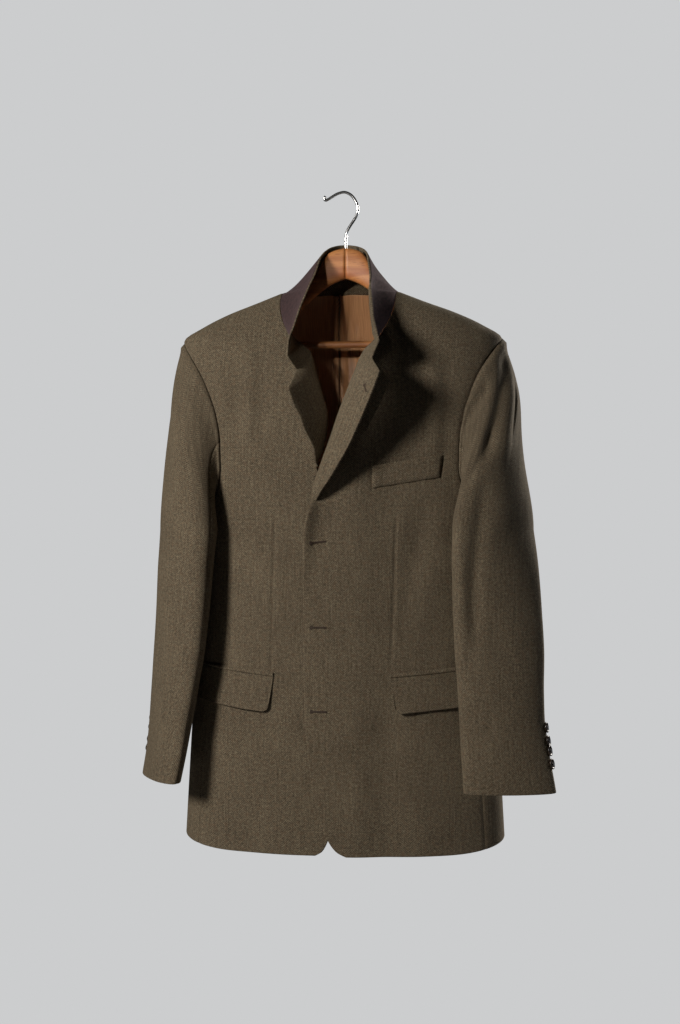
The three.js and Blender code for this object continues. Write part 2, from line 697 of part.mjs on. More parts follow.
for (const side of ["left", "right"]) {
  const shift = side === "right" ? RIGHT_FLAP_SHIFT : 0;
  const across = (u) => SIDE[side] * lerp(FLAP.inner + shift, FLAP.outer, u);
  const top = (u) => lerp(FLAP.topInner, FLAP.topOuter, u);
  const flap = onFront(side, (u, v) => {
    const rounding = FLAP.corner * Math.max(0, 1 - u / FLAP_ROUND_TO) * v ** 2;
    return { x: across(u) + SIDE[side] * FLAP.slant * v * (1 - u), z: top(u) - FLAP.deep * v + rounding };
  }, 11, 3);
  add(`${side}_flap`, wall(flap, ownNormals(flap), ON_PANEL + FLAP_THICK, FLAP_THICK), "cloth");
  const jet = onFront(side, (u, v) => ({ x: across(u), z: top(u) + JET.gap + JET.high * (1 - v) }), 11, 1);
  add(`${side}_jet`, wall(jet, ownNormals(jet), ON_PANEL + JET_THICK, JET_THICK), "cloth");
}

// ---- Buttons ----

// A dished button with a raised rim, its back at the origin and its face towards +Y before it is turned.
function buttonGeometry({ radius, thick }) {
  const profile = [
    [0, 0],
    [radius * 0.86, 0],
    [radius, thick * 0.45],
    [radius * 0.94, thick],
    [radius * 0.74, thick],
    [0, thick * 0.7],
  ].map(([r, y]) => new THREE.Vector2(r, y));
  return new THREE.LatheGeometry(profile, 14);
}

function addButton(name, size, at, normal) {
  const mesh = new THREE.Mesh(buttonGeometry(size), new THREE.MeshStandardMaterial(FINISH.horn));
  mesh.name = name;
  mesh.position.copy(at).addScaledVector(normal, BUTTON_SEAT);
  mesh.quaternion.setFromUnitVectors(v3(0, 1, 0), normal);
  blazer.add(mesh);
}

FRONT_BUTTON.heights.forEach((z, i) => {
  addButton(`front_button_${i + 1}`, FRONT_BUTTON, body(angleAt(FRONT_BUTTON.x, z), z), v3(0, -1, 0));
});

// A point of a sleeve at any level, straight between its rings.
function onSleeve(side, around, z) {
  const i = SLEEVE[side].findIndex((ring) => ring.z <= z);
  const [above, below] = [SLEEVE[side][i - 1], SLEEVE[side][i]];
  const t = (z - above.z) / (below.z - above.z);
  return sleevePoint(side, above, around).lerp(sleevePoint(side, below, around), t);
}

for (const side of ["left", "right"])
  for (let i = 0; i < CUFF_BUTTON.count; i++) {
    const z = CUFF_BUTTON.top - i * CUFF_BUTTON.pitch;
    const at = onSleeve(side, CUFF_BUTTON.around, z);
    const round = onSleeve(side, CUFF_BUTTON.around + 1, z).sub(at);
    const normal = onSleeve(side, CUFF_BUTTON.around, z - 1).sub(at).cross(round).normalize();
    if (normal.dot(at.clone().sub(onSleeve(side, CUFF_BUTTON.around + 180, z))) < 0) normal.negate();
    addButton(`${side}_cuff_button_${i + 1}`, CUFF_BUTTON, at, normal);
  }

// ---- Hanger ----

// The height of the shoulder seam above a distance from the hanger's centre.
function shoulderHeight(side, out) {
  const x = HANGER_CENTRE + SIDE[side] * out;
  const line = FRONT_EDGE.filter((row) => row.z >= ARMHOLE[0].z).map((row) => body(SIDE[side] * 90, row.z));
  const i = line.findIndex((p) => SIDE[side] * (p.x - x) > 0);
  if (i < 1) return line[Math.max(i, 0)].z;
  return lerp(line[i - 1].z, line[i].z, (x - line[i - 1].x) / (line[i].x - line[i - 1].x));
}

const ARM_SIDES = 12;
function armGeometry(side) {
  const sign = SIDE[side];
  const sections = ARM.map(({ out, top, bottom, half }) => {
    const carried = out > SEAT_FROM ? shoulderHeight(side, out) - CLOTH * CLOTH_SLOPE - SHOULDER_REST : top;
    const high = Math.min(top + ARM_RAISE, carried);
    const [middle, rise] = [(high + bottom) / 2, (high - bottom) / 2];
    return steps(ARM_SIDES).slice(0, -1).map((t) => {
      const [c, s] = [Math.cos(t * 2 * Math.PI), Math.sin(t * 2 * Math.PI)];
      const reach = (Math.abs(c) ** ARM_SQUARENESS + Math.abs(s) ** ARM_SQUARENESS) ** (-1 / ARM_SQUARENESS);
      return v3(HANGER_CENTRE + sign * out, half * reach * c, middle + rise * reach * s);
    });
  });
  const vertices = sections.flat();
  const faces = [];
  const n = ARM_SIDES;
  for (let i = 0; i + 1 < sections.length; i++)
    for (let j = 0; j < n; j++) {
      const [a, b] = [i * n + j, i * n + ((j + 1) % n)];
      faces.push([a, b, b + n], [a, b + n, a + n]);
    }
  for (let j = 1; j + 1 < n; j++) {
    const end = (sections.length - 1) * n;
    faces.push([0, j + 1, j], [end, end + j, end + j + 1]);
  }
  if (sign < 0) faces.forEach((face) => face.reverse());
  return meshGeometry(vertices, faces);
}

function solidOf(geometry) {
  const bare = geometry.clone();
  for (const name of Object.keys(bare.attributes)) if (name !== "position") bare.deleteAttribute(name);
  const merged = mergeVertices(bare, 1e-3);
  return new wasm.Manifold(
    new wasm.Mesh({
      numProp: 3,
      vertProperties: merged.attributes.position.array,
      triVerts: new Uint32Array(merged.index.array),
    }),
  );
}

function geometryOf(solid) {
  const { vertProperties, triVerts } = solid.getMesh();
  const geometry = new THREE.BufferGeometry();
  geometry.setAttribute("position", new THREE.BufferAttribute(new Float32Array(vertProperties), 3));
  geometry.setIndex(new THREE.BufferAttribute(new Uint32Array(triVerts), 1));
  return geometry;
}

const barHole = BAR.radius + BAR.clearance;
const barSocket = new THREE.CylinderGeometry(barHole, barHole, 1, BAR_SIDES)
  .scale(1, 2 * (BAR.end + BAR.clearance), 1)
  .rotateZ(Math.PI / 2)
  .translate(HANGER_CENTRE, 0, BAR.z);
const stemHole = WIRE + BAR.clearance;
const stemSocket = new THREE.CylinderGeometry(stemHole, stemHole, STEM_HOLE.deep, STEM_HOLE.sides)
  .rotateX(Math.PI / 2)
  .translate(HANGER_CENTRE, 0, STEM_HOLE.middle);
for (const side of ["left", "right"]) {
  const arm = solidOf(armGeometry(side)).subtract(solidOf(barSocket)).subtract(solidOf(stemSocket));
  add(`hanger_arm_${side}`, geometryOf(arm), "wood");
}

const bar = new THREE.CylinderGeometry(BAR.radius, BAR.radius, 2 * BAR.end, BAR_SIDES)
  .rotateZ(Math.PI / 2)
  .translate(HANGER_CENTRE, 0, BAR.z);
add("trouser_bar", bar, "wood");

// The wire, swept with rings of points square to its path.
function wireGeometry(path, radius, count, sides) {
  const curve = new THREE.CatmullRomCurve3(path.map(({ x, z }) => v3(x, 0, z)));
  const sections = steps(count).map((t) => {
    const [at, along] = [curve.getPointAt(t), curve.getTangentAt(t)];
    const across = v3(-along.z, 0, along.x);
    return steps(sides).slice(0, -1).map((s) =>
      at.clone()
        .addScaledVector(across, radius * Math.cos(s * 2 * Math.PI))
        .add(v3(0, radius * Math.sin(s * 2 * Math.PI), 0)),
    );
  });
  const faces = [];
  for (let i = 0; i < count; i++)
    for (let j = 0; j < sides; j++) {
      const [a, b] = [i * sides + j, i * sides + ((j + 1) % sides)];
      faces.push([a, b + sides, b], [a, a + sides, b + sides]);
    }
  for (let j = 1; j + 1 < sides; j++) {
    const end = count * sides;
    faces.push([0, j, j + 1], [end, end + j + 1, end + j]);
  }
  return meshGeometry(sections.flat(), faces);
}
add("hook", wireGeometry(HOOK, WIRE, 36, 8), "chrome");

export default blazer;
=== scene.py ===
# %% [markdown]
# # A wool blazer on a wooden hanger
# A blazer is cut from flat cloth and shaped by seams, darts and an iron. Here each cut piece is one thin
# shell: a net of points laid over the garment's form, with the weave's own coordinates kept in its UV map.
# The form comes from a handful of measuring tables, as a pattern cutter works from body measures.

import math

import bpy
import numpy as np
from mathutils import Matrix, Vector


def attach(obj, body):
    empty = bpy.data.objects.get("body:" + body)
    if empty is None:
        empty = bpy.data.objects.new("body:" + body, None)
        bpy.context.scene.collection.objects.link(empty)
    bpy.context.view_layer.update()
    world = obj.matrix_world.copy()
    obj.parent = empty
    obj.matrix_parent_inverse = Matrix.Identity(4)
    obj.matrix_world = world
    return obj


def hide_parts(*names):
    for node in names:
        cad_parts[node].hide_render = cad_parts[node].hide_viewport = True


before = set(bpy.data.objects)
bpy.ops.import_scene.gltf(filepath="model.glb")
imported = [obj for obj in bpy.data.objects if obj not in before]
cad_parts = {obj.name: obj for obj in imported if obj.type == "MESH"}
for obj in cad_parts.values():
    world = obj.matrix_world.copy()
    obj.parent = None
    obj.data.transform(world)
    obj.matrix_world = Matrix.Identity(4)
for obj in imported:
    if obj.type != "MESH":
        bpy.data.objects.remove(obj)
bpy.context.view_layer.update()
MM = 0.001
SIDE = {"left": 1, "right": -1}

# %% [markdown]
# ## Measuring tables
# A tailor's form is described by level rings: how wide, how deep in front and behind. Between the rings a
# curve that never overshoots its points keeps the cloth calm; a plain spline would make it wave.
# All tables are in millimetres, +Z up, the fronts face -Y, and z falls from row to row.

# %% The body's rings and a calm curve through them
#        z, centre, half, front, back
BODY = [(-143, -6, 87, 32, 60), (-157, -6, 122, 44, 66), (-173, -5, 164, 56, 73), (-191, -4, 201, 66, 79),
        (-210, -4, 228, 75, 84), (-236, -3, 229, 83, 89), (-300, -1, 225, 91, 93), (-400, 0, 221, 96, 92),
        (-520, 0, 214, 95, 86), (-640, 0, 213, 92, 82), (-780, 0, 221, 90, 83), (-930, 0, 229, 89, 84)]
NECK, NECK_END, CHEST, HEM = -143, -200, -446, -930
SQUARE = 2.5  # exponent of the rings: 2 would be an ellipse
OVERLAP = 7  # the left front lies this far off the right one where they lap
BUTTON_LEVELS = (-498, -614, -730)
POCKET_INNER = {"left": 73, "right": 89}  # where each hip pocket starts, out from the middle


def curve(table, column, z):
    """A smooth, never overshooting curve through one column of a table whose first column falls."""
    t = np.asarray([(row[0], row[column]) for row in table], float)
    zs, vs = t[:, 0], t[:, 1]
    z = np.clip(z, zs[-1], zs[0])
    i = np.clip(np.searchsorted(-zs, -z, side="right") - 1, 0, len(zs) - 2)
    slope = np.diff(vs) / np.diff(zs)
    a, b = slope[:-1], slope[1:]
    middle = np.where(a * b > 0, 2 * a * b / np.where(a + b == 0, 1, a + b), 0)
    tangent = np.concatenate([slope[:1], middle, slope[-1:]])
    step = zs[i + 1] - zs[i]
    s = (z - zs[i]) / step
    h = 2 * s**3 - 3 * s**2 + 1
    return (h * vs[i] + (1 - h) * vs[i + 1] + (s**3 - 2 * s**2 + s) * step * tangent[i]
            + (s**3 - s**2) * step * tangent[i + 1])


def smooth(x, start, end):
    """0 before start, 1 after end, and an S between them."""
    t = np.clip((np.asarray(x, float) - start) / (end - start), 0, 1)
    return t * t * (3 - 2 * t)


def body(angle, z):
    """A point of the body: angle 0 is the centre front, 90 the wearer's left side, 180 the centre back."""
    angle, z = np.broadcast_arrays(np.asarray(angle, float), np.asarray(z, float))
    s, c = np.sin(np.radians(angle)), np.cos(np.radians(angle))
    reach = (np.abs(s) ** SQUARE + np.abs(c) ** SQUARE) ** (-1 / SQUARE)
    depth = np.where(c > 0, curve(BODY, 3, z), curve(BODY, 4, z))
    away = np.abs(angle)
    rise = 7 * smooth(away, 90, 180) * (1 - smooth(-z, -NECK, -NECK_END))
    rise = rise + (9 * (1 - c) + 11 * smooth(away, 38, 90)) * smooth(-z, -CHEST, -HEM)
    return np.stack([curve(BODY, 1, z) + curve(BODY, 2, z) * reach * s, -depth * reach * c, z + rise], -1)


def angle_at(x, z):
    """The ring angle of the front at a given x."""
    x, z = np.broadcast_arrays(np.asarray(x, float), np.asarray(z, float))
    side = np.where(x < curve(BODY, 1, z), -1.0, 1.0)
    low, high = np.zeros(x.shape), np.full(x.shape, 90.0)
    for _ in range(40):
        mid = (low + high) / 2
        short = (body(side * mid, z)[..., 0] - x) * side < 0
        low, high = np.where(short, mid, low), np.where(short, high, mid)
    return side * (low + high) / 2


def front(side, angle, z):
    """A point of one front. The left one laps over the right, a button's thickness off it."""
    p = body(angle, z)
    if side == "left":
        p[..., 1] -= OVERLAP * (1 - smooth(p[..., 0], 20, 76)) * (np.abs(angle) < 90)
    return p


print("chest ring, side to side:", body(90, -446)[0] - body(-90, -446)[0], "mm")

# %% [markdown]
# ## From a net of points to a piece of cloth
# Cloth could be one flat surface with a solidify modifier, but its cut edges would then be square. Each
# piece is built as a closed shell instead: the outer face, the inner face, and a rounded rim between them,
# because a pressed edge on wool is soft. The UV map holds metres along the grain, so a weave drawn in the
# material has its real size on every piece and follows the cut.


# %% Make a shell
CUTS = {}  # each cloth piece, the width and length of its cut, and its area


def grow(points, cells):
    """Vertex normals of a net, from its faces."""
    a, b, c, d = (points[cells[:, k]] for k in range(4))
    n = np.cross(c - a, d - b)
    normals = np.zeros_like(points)
    for k in range(4):
        np.add.at(normals, cells[:, k], n)
    return normals / np.maximum(np.linalg.norm(normals, axis=1, keepdims=True), 1e-9)


def net(p, away):
    """Numbers the points of a grid (missing ones are NaN) and its cells, which face the way `away` says."""
    rows, cols = p.shape[:2]
    there = ~np.isnan(p[..., 0])
    index = np.full((rows, cols), -1)
    index[there] = np.arange(there.sum())
    q = np.stack([index[:-1, :-1], index[:-1, 1:], index[1:, 1:], index[1:, :-1]], -1).reshape(-1, 4)
    q = q[(q >= 0).all(1)]
    points = p[there]
    a, b, c, d = (points[q[:, k]] for k in range(4))
    n = np.cross(c - a, d - b)
    if (n * away((a + b + c + d) / 4)).sum() < 0:
        q = q[:, ::-1]
    return points, q, there


def rim_of(points, cells):
    """Directed border edges of a net, and for each border point the way out of the piece."""
    edge = np.concatenate([cells[:, [k, (k + 1) % 4]] for k in range(4)])
    owner = np.tile(np.arange(len(cells)), 4)
    size = len(points)
    border = ~np.isin(edge[:, 0] * size + edge[:, 1], edge[:, 1] * size + edge[:, 0])
    edge, owner = edge[border], owner[border]
    c = cells[owner]
    n = np.cross(points[c[:, 2]] - points[c[:, 0]], points[c[:, 3]] - points[c[:, 1]])
    along = points[edge[:, 1]] - points[edge[:, 0]]
    out = np.cross(along, n)
    out /= np.maximum(np.linalg.norm(out, axis=1, keepdims=True), 1e-9)
    total = np.zeros_like(points)
    for k in range(2):
        np.add.at(total, edge[:, k], out)
    return edge, total / np.maximum(np.linalg.norm(total, axis=1, keepdims=True), 1e-9)


def add_mesh(name, verts, faces, material, uv=None, hide=()):
    """Makes the object, in metres, lets it ride on the frame and stand for its CAD nodes."""
    mesh = bpy.data.meshes.new(name)
    mesh.from_pydata((np.asarray(verts) * MM).tolist(), [], [list(map(int, f)) for f in faces])
    mesh.materials.append(material)
    mesh.polygons.foreach_set("use_smooth", [True] * len(mesh.polygons))
    if uv is not None:
        layer = mesh.uv_layers.new(name="grain")
        corner = np.empty(len(mesh.loops), int)
        mesh.loops.foreach_get("vertex_index", corner)
        layer.data.foreach_set("uv", (np.asarray(uv)[corner] * MM).astype(np.float32).ravel())
    thing = bpy.data.objects.new(name, mesh)
    bpy.context.scene.collection.objects.link(thing)
    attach(thing, "root")
    if hide:
        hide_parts(*hide)
    return thing


def shell(name, grid, grain, material, away, thick=1.2, lift=0.0,
          inset=None, normals=None, hide=()):
    """A piece of cloth: its outer face `lift` off the net, `thick` deep, with a round rim."""
    points, cells, there = net(grid, away)
    n = grow(points, cells) if normals is None else normals[there]
    edge, out = rim_of(points, cells)

    def take(value):
        return np.broadcast_to(value, grid.shape[:2])[there][:, None]

    t, up = take(thick), take(lift)
    inset = t / 2 - 0.15 if inset is None else take(inset)
    base = points - out * inset + n * up
    on_rim = np.unique(edge)
    spot = np.full(len(points), -1)
    spot[on_rim] = np.arange(len(on_rim))
    layers = [base]
    for deep, wide in ((0.15, 0.35), (0.5, 0.5), (0.85, 0.35)):
        layers.append((base - n * t * deep + out * t * wide)[on_rim])
    layers.append(base - n * t)
    starts = np.cumsum([0] + [len(layer) for layer in layers])
    faces = [cells, (cells + starts[4])[:, ::-1]]
    at = [lambda e, k=k: (e if k in (0, 4) else spot[e]) + starts[k] for k in range(5)]
    for k in range(4):
        a, b = edge[:, 0], edge[:, 1]
        faces.append(np.stack([at[k](b), at[k](a), at[k + 1](a), at[k + 1](b)], -1))
    uv = grain[there]
    uv = np.concatenate([uv, uv[on_rim], uv[on_rim], uv[on_rim], uv])
    thing = add_mesh(name, np.concatenate(layers), np.concatenate(faces), material, uv, hide)
    a, b, c, d = (points[cells[:, k]] for k in range(4))
    area = np.linalg.norm(np.cross(c - a, d - b), axis=1).sum() / 2
    flat = np.ptp(grain[there], axis=0) * MM
    CUTS[name] = (thing, max(flat[0], 0.01), max(flat[1], 0.01), area * MM * MM)
    print(name, len(cells), "cells")
    return thing


def lengths(grid, axis):
    """Length along the cloth from the first point of each row or column, in millimetres."""
    step = np.linalg.norm(np.diff(grid, axis=axis), axis=-1)
    pad = [(0, 0), (0, 0)]
    pad[axis] = (1, 0)
    return np.pad(np.nancumsum(step, axis=axis), pad)


def from_body(p):
    """The way out of the torso, level, at each point."""
    return p * [1, 1, 0]


# %% [markdown]
# ## Soft folds
# A hanging jacket keeps a few soft troughs and ridges where the weight turns. A cloth simulation could find
# some, but never the same ones twice, so each is drawn: a line across the piece, how wide it is and
# how far the cloth moves along its own normal there. Two ends fade out, and the profile is a soft bell.


# %% Draw a fold
def fold(a, b, path, wide, deep, start=0.25, end=0.25):
    """Relief of one fold along a path in the (a, b) plane. deep is in millimetres, negative for a trough."""
    path = np.asarray(path, float)
    seg = np.diff(path, axis=0)
    long = np.linalg.norm(seg, axis=1)
    before = np.concatenate([[0], np.cumsum(long)])
    best, where = np.full(np.shape(a), 1e9), np.zeros(np.shape(a))
    for k in range(len(seg)):
        t = np.clip(((a - path[k, 0]) * seg[k, 0] + (b - path[k, 1]) * seg[k, 1]) / long[k] ** 2, 0, 1)
        d = np.hypot(a - path[k, 0] - t * seg[k, 0], b - path[k, 1] - t * seg[k, 1])
        near = d < best
        best = np.where(near, d, best)
        where = np.where(near, (before[k] + t * long[k]) / before[-1], where)
    fade = (smooth(where, 0, start) if start else 1) * (smooth(-where, -1, end - 1) if end else 1)
    return deep * np.exp(-((best / wide) ** 2)) * fade


def sag(x, y, size, seed):
    """Very soft unevenness, so that no stretch of cloth is dead flat: three slow waves that never line up."""
    rng = np.random.default_rng(seed)
    total = 0
    for k in (1.0, 1.7, 2.9):
        turn, phase = rng.uniform(0, math.pi), rng.uniform(0, 2 * math.pi)
        total = total + np.sin((x * math.cos(turn) + y * math.sin(turn) * 0.5) * k / size + phase) / k
    return total


# %% [markdown]
# ## Materials
# Colours are given as sRGB hex values; Blender's shaders want linear light, so one function turns
# them. One more function adds a node with its settings and links, which keeps each material readable.


# %% Colour and node helpers
def linear(hex_colour):
    """sRGB hex to linear RGBA."""
    parts = [int(hex_colour[i:i + 2], 16) / 255 for i in (1, 3, 5)]
    return [c / 12.92 if c <= 0.04045 else ((c + 0.055) / 1.055) ** 2.4 for c in parts] + [1.0]


def node(tree, kind, settings=None, **inputs):
    """Adds a node. Inputs are named sockets (or i0, i1 by place): a value, or another node's output."""
    made = tree.nodes.new(kind)
    for key, value in (settings or {}).items():
        setattr(made, key, value)
    for key, value in inputs.items():
        place = int(key[1:]) if key[0] == "i" and key[1:].isdigit() else key.replace("_", " ")
        socket = made.inputs[place]
        if isinstance(value, bpy.types.NodeSocket):
            tree.links.new(value, socket)
        else:
            socket.default_value = value
    return made


COLOURS = {"data_type": "RGBA"}  # settings of a Mix node that blends colours
ADD_PART = {"operation": "MULTIPLY_ADD"}  # settings of a Math node that adds i0 times i1 to i2


def material(name, **shader):
    """An empty material with a Principled shader whose plain sockets are set, and its tree."""
    made = bpy.data.materials.new(name)
    made.use_nodes = True
    tree = made.node_tree
    tree.nodes.clear()
    principled = node(tree, "ShaderNodeBsdfPrincipled", **shader)
    node(tree, "ShaderNodeOutputMaterial", Surface=principled.outputs[0])
    return made, tree, principled

# %% [markdown]
# ### Wool suiting
# The cloth is a fine herringbone twill in worsted wool: brown and olive yarns, woven 2 over 2, whose
# diagonal ribs turn back every few millimetres. The nap takes all gloss off, so the eye reads it as matt
# with a faint pale edge, which is what the sheen lobe gives. The real ribs are 0.7 mm apart, too fine to
# show at this size, so they are drawn 3.2 mm apart, and the columns of the herringbone 11 mm wide.

# %% Wool suiting
RIB, STRIPE = 3.2 * MM, 11 * MM


def herringbone(tree):
    """0..1 height of the twill ribs, from the cloth's own coordinates."""
    uv = node(tree, "ShaderNodeUVMap", {"uv_map": "grain"}).outputs[0]
    split = node(tree, "ShaderNodeSeparateXYZ", i0=uv)
    u, v = split.outputs[0], split.outputs[1]
    zigzag = node(tree, "ShaderNodeMath", {"operation": "PINGPONG"}, i0=u, i1=STRIPE).outputs[0]
    slope = node(tree, "ShaderNodeMath", {"operation": "ADD"}, i0=zigzag, i1=v).outputs[0]
    turn = node(tree, "ShaderNodeMath", {"operation": "MULTIPLY"}, i0=slope, i1=2 * math.pi / RIB).outputs[0]
    wave = node(tree, "ShaderNodeMath", {"operation": "SINE"}, i0=turn).outputs[0]
    return uv, node(tree, "ShaderNodeMath", ADD_PART, i0=wave, i1=0.5, i2=0.5).outputs[0]


def wool(name, dark, mid, light, warm):
    """Twill from three depths of yarn, with a share of a warmer one."""
    made, tree, principled = material(
        name, Roughness=0.92, Sheen_Weight=0.22, Sheen_Roughness=0.55, Sheen_Tint=linear("#B9AD93"))
    principled.inputs["Specular IOR Level"].default_value = 0.2
    uv, rib = herringbone(tree)
    yarn = node(tree, "ShaderNodeTexNoise", Vector=uv, Scale=560.0, Detail=2.0, Roughness=0.6).outputs[0]
    cloud = node(tree, "ShaderNodeTexNoise", Vector=uv, Scale=16.0, Detail=3.0, Roughness=0.55).outputs[0]
    stretch = node(tree, "ShaderNodeMapping", Vector=uv, Scale=(420.0, 25.0, 1.0)).outputs[0]
    warp = node(tree, "ShaderNodeTexNoise", Vector=stretch, Scale=1.0, Detail=1.0).outputs[0]
    fleck = node(tree, "ShaderNodeTexNoise", Vector=uv, Scale=270.0, Detail=1.0, Roughness=0.5).outputs[0]
    hue = node(tree, "ShaderNodeTexNoise", Vector=uv, Scale=190.0, Detail=3.0, Roughness=0.7).outputs[0]
    tone = 0.0
    for part, share in ((rib, 0.2), (yarn, 0.6), (warp, 0.22), (fleck, 0.4), (cloud, 0.16)):
        tone = node(tree, "ShaderNodeMath", ADD_PART, i0=part, i1=share, i2=tone).outputs[0]
    first = node(tree, "ShaderNodeMapRange", i0=tone, i1=0.51, i2=0.78).outputs[0]
    low = node(tree, "ShaderNodeMix", COLOURS, i0=first, i6=linear(dark), i7=linear(mid)).outputs[2]
    second = node(tree, "ShaderNodeMapRange", i0=tone, i1=0.78, i2=1.06).outputs[0]
    plain = node(tree, "ShaderNodeMix", COLOURS, i0=second, i6=low, i7=linear(light)).outputs[2]
    brown = node(tree, "ShaderNodeMapRange", i0=hue, i1=0.45, i2=0.75, i4=0.5).outputs[0]
    colour = node(tree, "ShaderNodeMix", COLOURS, i0=brown, i6=plain, i7=linear(warm)).outputs[2]
    tree.links.new(colour, principled.inputs["Base Color"])
    height = node(tree, "ShaderNodeMath", ADD_PART, i0=yarn, i1=0.8, i2=rib).outputs[0]
    bump = node(tree, "ShaderNodeBump", Strength=0.55, Distance=0.0004, Height=height)
    tree.links.new(bump.outputs[0], principled.inputs["Normal"])
    return made


WOOL = wool("wool_suiting", "#2A231B", "#5B5244", "#8A7F69", "#6C5541")
print("wool: ribs", RIB / MM, "mm apart")

# %% [markdown]
# ### Melton
# The undercollar is melton, a wool cloth felted so hard that no weave shows, because it must stretch round
# the neck and never fray. Felt has no direction: two noises, one of fibres and one of broad clouds, do it.

# %% Melton
MELTON, tree, principled = material(
    "melton", Roughness=0.97, Sheen_Weight=0.35, Sheen_Roughness=0.6, Sheen_Tint=linear("#A58E93"))
uv = node(tree, "ShaderNodeUVMap", {"uv_map": "grain"}).outputs[0]
fibre = node(tree, "ShaderNodeTexNoise", Vector=uv, Scale=900.0, Detail=4.0, Roughness=0.7).outputs[0]
cloud = node(tree, "ShaderNodeTexNoise", Vector=uv, Scale=190.0, Detail=3.0, Roughness=0.6).outputs[0]
tone = node(tree, "ShaderNodeMath", ADD_PART, i0=cloud, i1=0.9, i2=0.0).outputs[0]
tone = node(tree, "ShaderNodeMath", ADD_PART, i0=fibre, i1=0.4, i2=tone).outputs[0]
share = node(tree, "ShaderNodeMapRange", i0=tone, i1=0.48, i2=0.85).outputs[0]
colour = node(tree, "ShaderNodeMix", COLOURS, i0=share, i6=linear("#1B1012"), i7=linear("#452F30")).outputs[2]
tree.links.new(colour, principled.inputs["Base Color"])
bump = node(tree, "ShaderNodeBump", Strength=0.6, Distance=0.0005, Height=fibre)
tree.links.new(bump.outputs[0], principled.inputs["Normal"])

# %% [markdown]
# ### Lining satin
# Satin floats its warp over the face, so the threads lie side by side and mirror light in a stripe across
# them: a lower roughness, and anisotropy turned along the warp. Colour shifts a little along each thread.

# %% Lining satin
SATIN, tree, principled = material("lining_satin", Roughness=0.42, Anisotropic=0.5, Sheen_Weight=0.15)
uv = node(tree, "ShaderNodeUVMap", {"uv_map": "grain"}).outputs[0]
stretch = node(tree, "ShaderNodeMapping", Vector=uv, Scale=(900.0, 30.0, 1.0)).outputs[0]
thread_tone = node(tree, "ShaderNodeTexNoise", Vector=stretch, Scale=1.0, Detail=2.0).outputs[0]
share = node(tree, "ShaderNodeMapRange", i0=thread_tone, i1=0.3, i2=0.7).outputs[0]
colour = node(tree, "ShaderNodeMix", COLOURS, i0=share, i6=linear("#BC875C"), i7=linear("#D9A679")).outputs[2]
# Painted shade: a weight stored on the lining's points darkens the colour nearly to black along the pleat.
pleat_painted_shade = node(tree, "ShaderNodeAttribute", {"attribute_name": "pleat_painted_shade"}).outputs["Fac"]
colour = node(tree, "ShaderNodeMix", COLOURS, i0=pleat_painted_shade, i6=colour, i7=linear("#160C07")).outputs[2]
tree.links.new(colour, principled.inputs["Base Color"])
bump = node(tree, "ShaderNodeBump", Strength=0.2, Distance=0.0002, Height=thread_tone)
tree.links.new(bump.outputs[0], principled.inputs["Normal"])

# %% [markdown]
# ### Horn, beech, plated wire and thread
# Buttons are cut from dark horn and polished: streaks of brown in near black. The hanger is lacquered
# beech, whose grain runs along the arm with short dark flecks. The hook is bright plated steel wire, and
# the buttonholes are worked in a dark silk twist.

# %% Horn
HORN, tree, principled = material("button_horn", Roughness=0.32, Coat_Weight=0.15)
place = node(tree, "ShaderNodeTexCoord").outputs["Object"]
streak = node(tree, "ShaderNodeMapping", Vector=place, Scale=(300.0, 120.0, 60.0)).outputs[0]
tone = node(tree, "ShaderNodeTexNoise", Vector=streak, Scale=1.0, Detail=3.0, Distortion=1.0).outputs[0]
share = node(tree, "ShaderNodeMapRange", i0=tone, i1=0.35, i2=0.8).outputs[0]
colour = node(tree, "ShaderNodeMix", COLOURS, i0=share, i6=linear("#17120F"), i7=linear("#46362A")).outputs[2]
tree.links.new(colour, principled.inputs["Base Color"])

# %% Beech
BEECH, tree, principled = material("hanger_wood", Roughness=0.5, Coat_Weight=0.06, Coat_Roughness=0.3)
place = node(tree, "ShaderNodeTexCoord").outputs["Object"]
along = node(tree, "ShaderNodeMapping", Vector=place, Scale=(7.0, 60.0, 60.0)).outputs[0]
ring = node(tree, "ShaderNodeTexNoise", Vector=along, Scale=1.4, Detail=4.0, Distortion=1.2).outputs[0]
pores = node(tree, "ShaderNodeMapping", Vector=place, Scale=(90.0, 900.0, 900.0)).outputs[0]
fleck = node(tree, "ShaderNodeTexNoise", Vector=pores, Scale=1.0, Detail=1.0).outputs[0]
share = node(tree, "ShaderNodeMapRange", i0=ring, i1=0.3, i2=0.7).outputs[0]
colour = node(tree, "ShaderNodeMix", COLOURS, i0=share, i6=linear("#9A5A31"), i7=linear("#BF8550")).outputs[2]
share = node(tree, "ShaderNodeMapRange", i0=fleck, i1=0.28, i2=0.42).outputs[0]
dark = node(tree, "ShaderNodeMix", COLOURS, i0=share, i6=linear("#8F5530"), i7=colour).outputs[2]
tree.links.new(dark, principled.inputs["Base Color"])
bump = node(tree, "ShaderNodeBump", Strength=0.15, Distance=0.0002, Height=fleck)
tree.links.new(bump.outputs[0], principled.inputs["Normal"])

# %% Plated wire, thread
CHROME, tree, principled = material("hook_wire", Metallic=1.0, Roughness=0.24, Base_Color=linear("#D6D8DA"))
THREAD, tree, principled = material("silk_twist", Roughness=0.6, Base_Color=linear("#38291D"))
# A near-black material: painted shade for the buttonholes' slits and the buttons' holes.
SHADE, tree, principled = material("buttonhole_shade", Roughness=1.0, Base_Color=linear("#15100C"))
print("materials:", [m.name for m in bpy.data.materials])

# %% [markdown]
# ## The fronts
# Each front is one cut piece that runs from the shoulder to the hem and turns outwards along the roll line
# into the lapel. On a jacket with its collar up the lapels stand forward, so the same net of points carries
# on past the roll line. Its edge is a little thicker, where the facing is turned in and pressed.

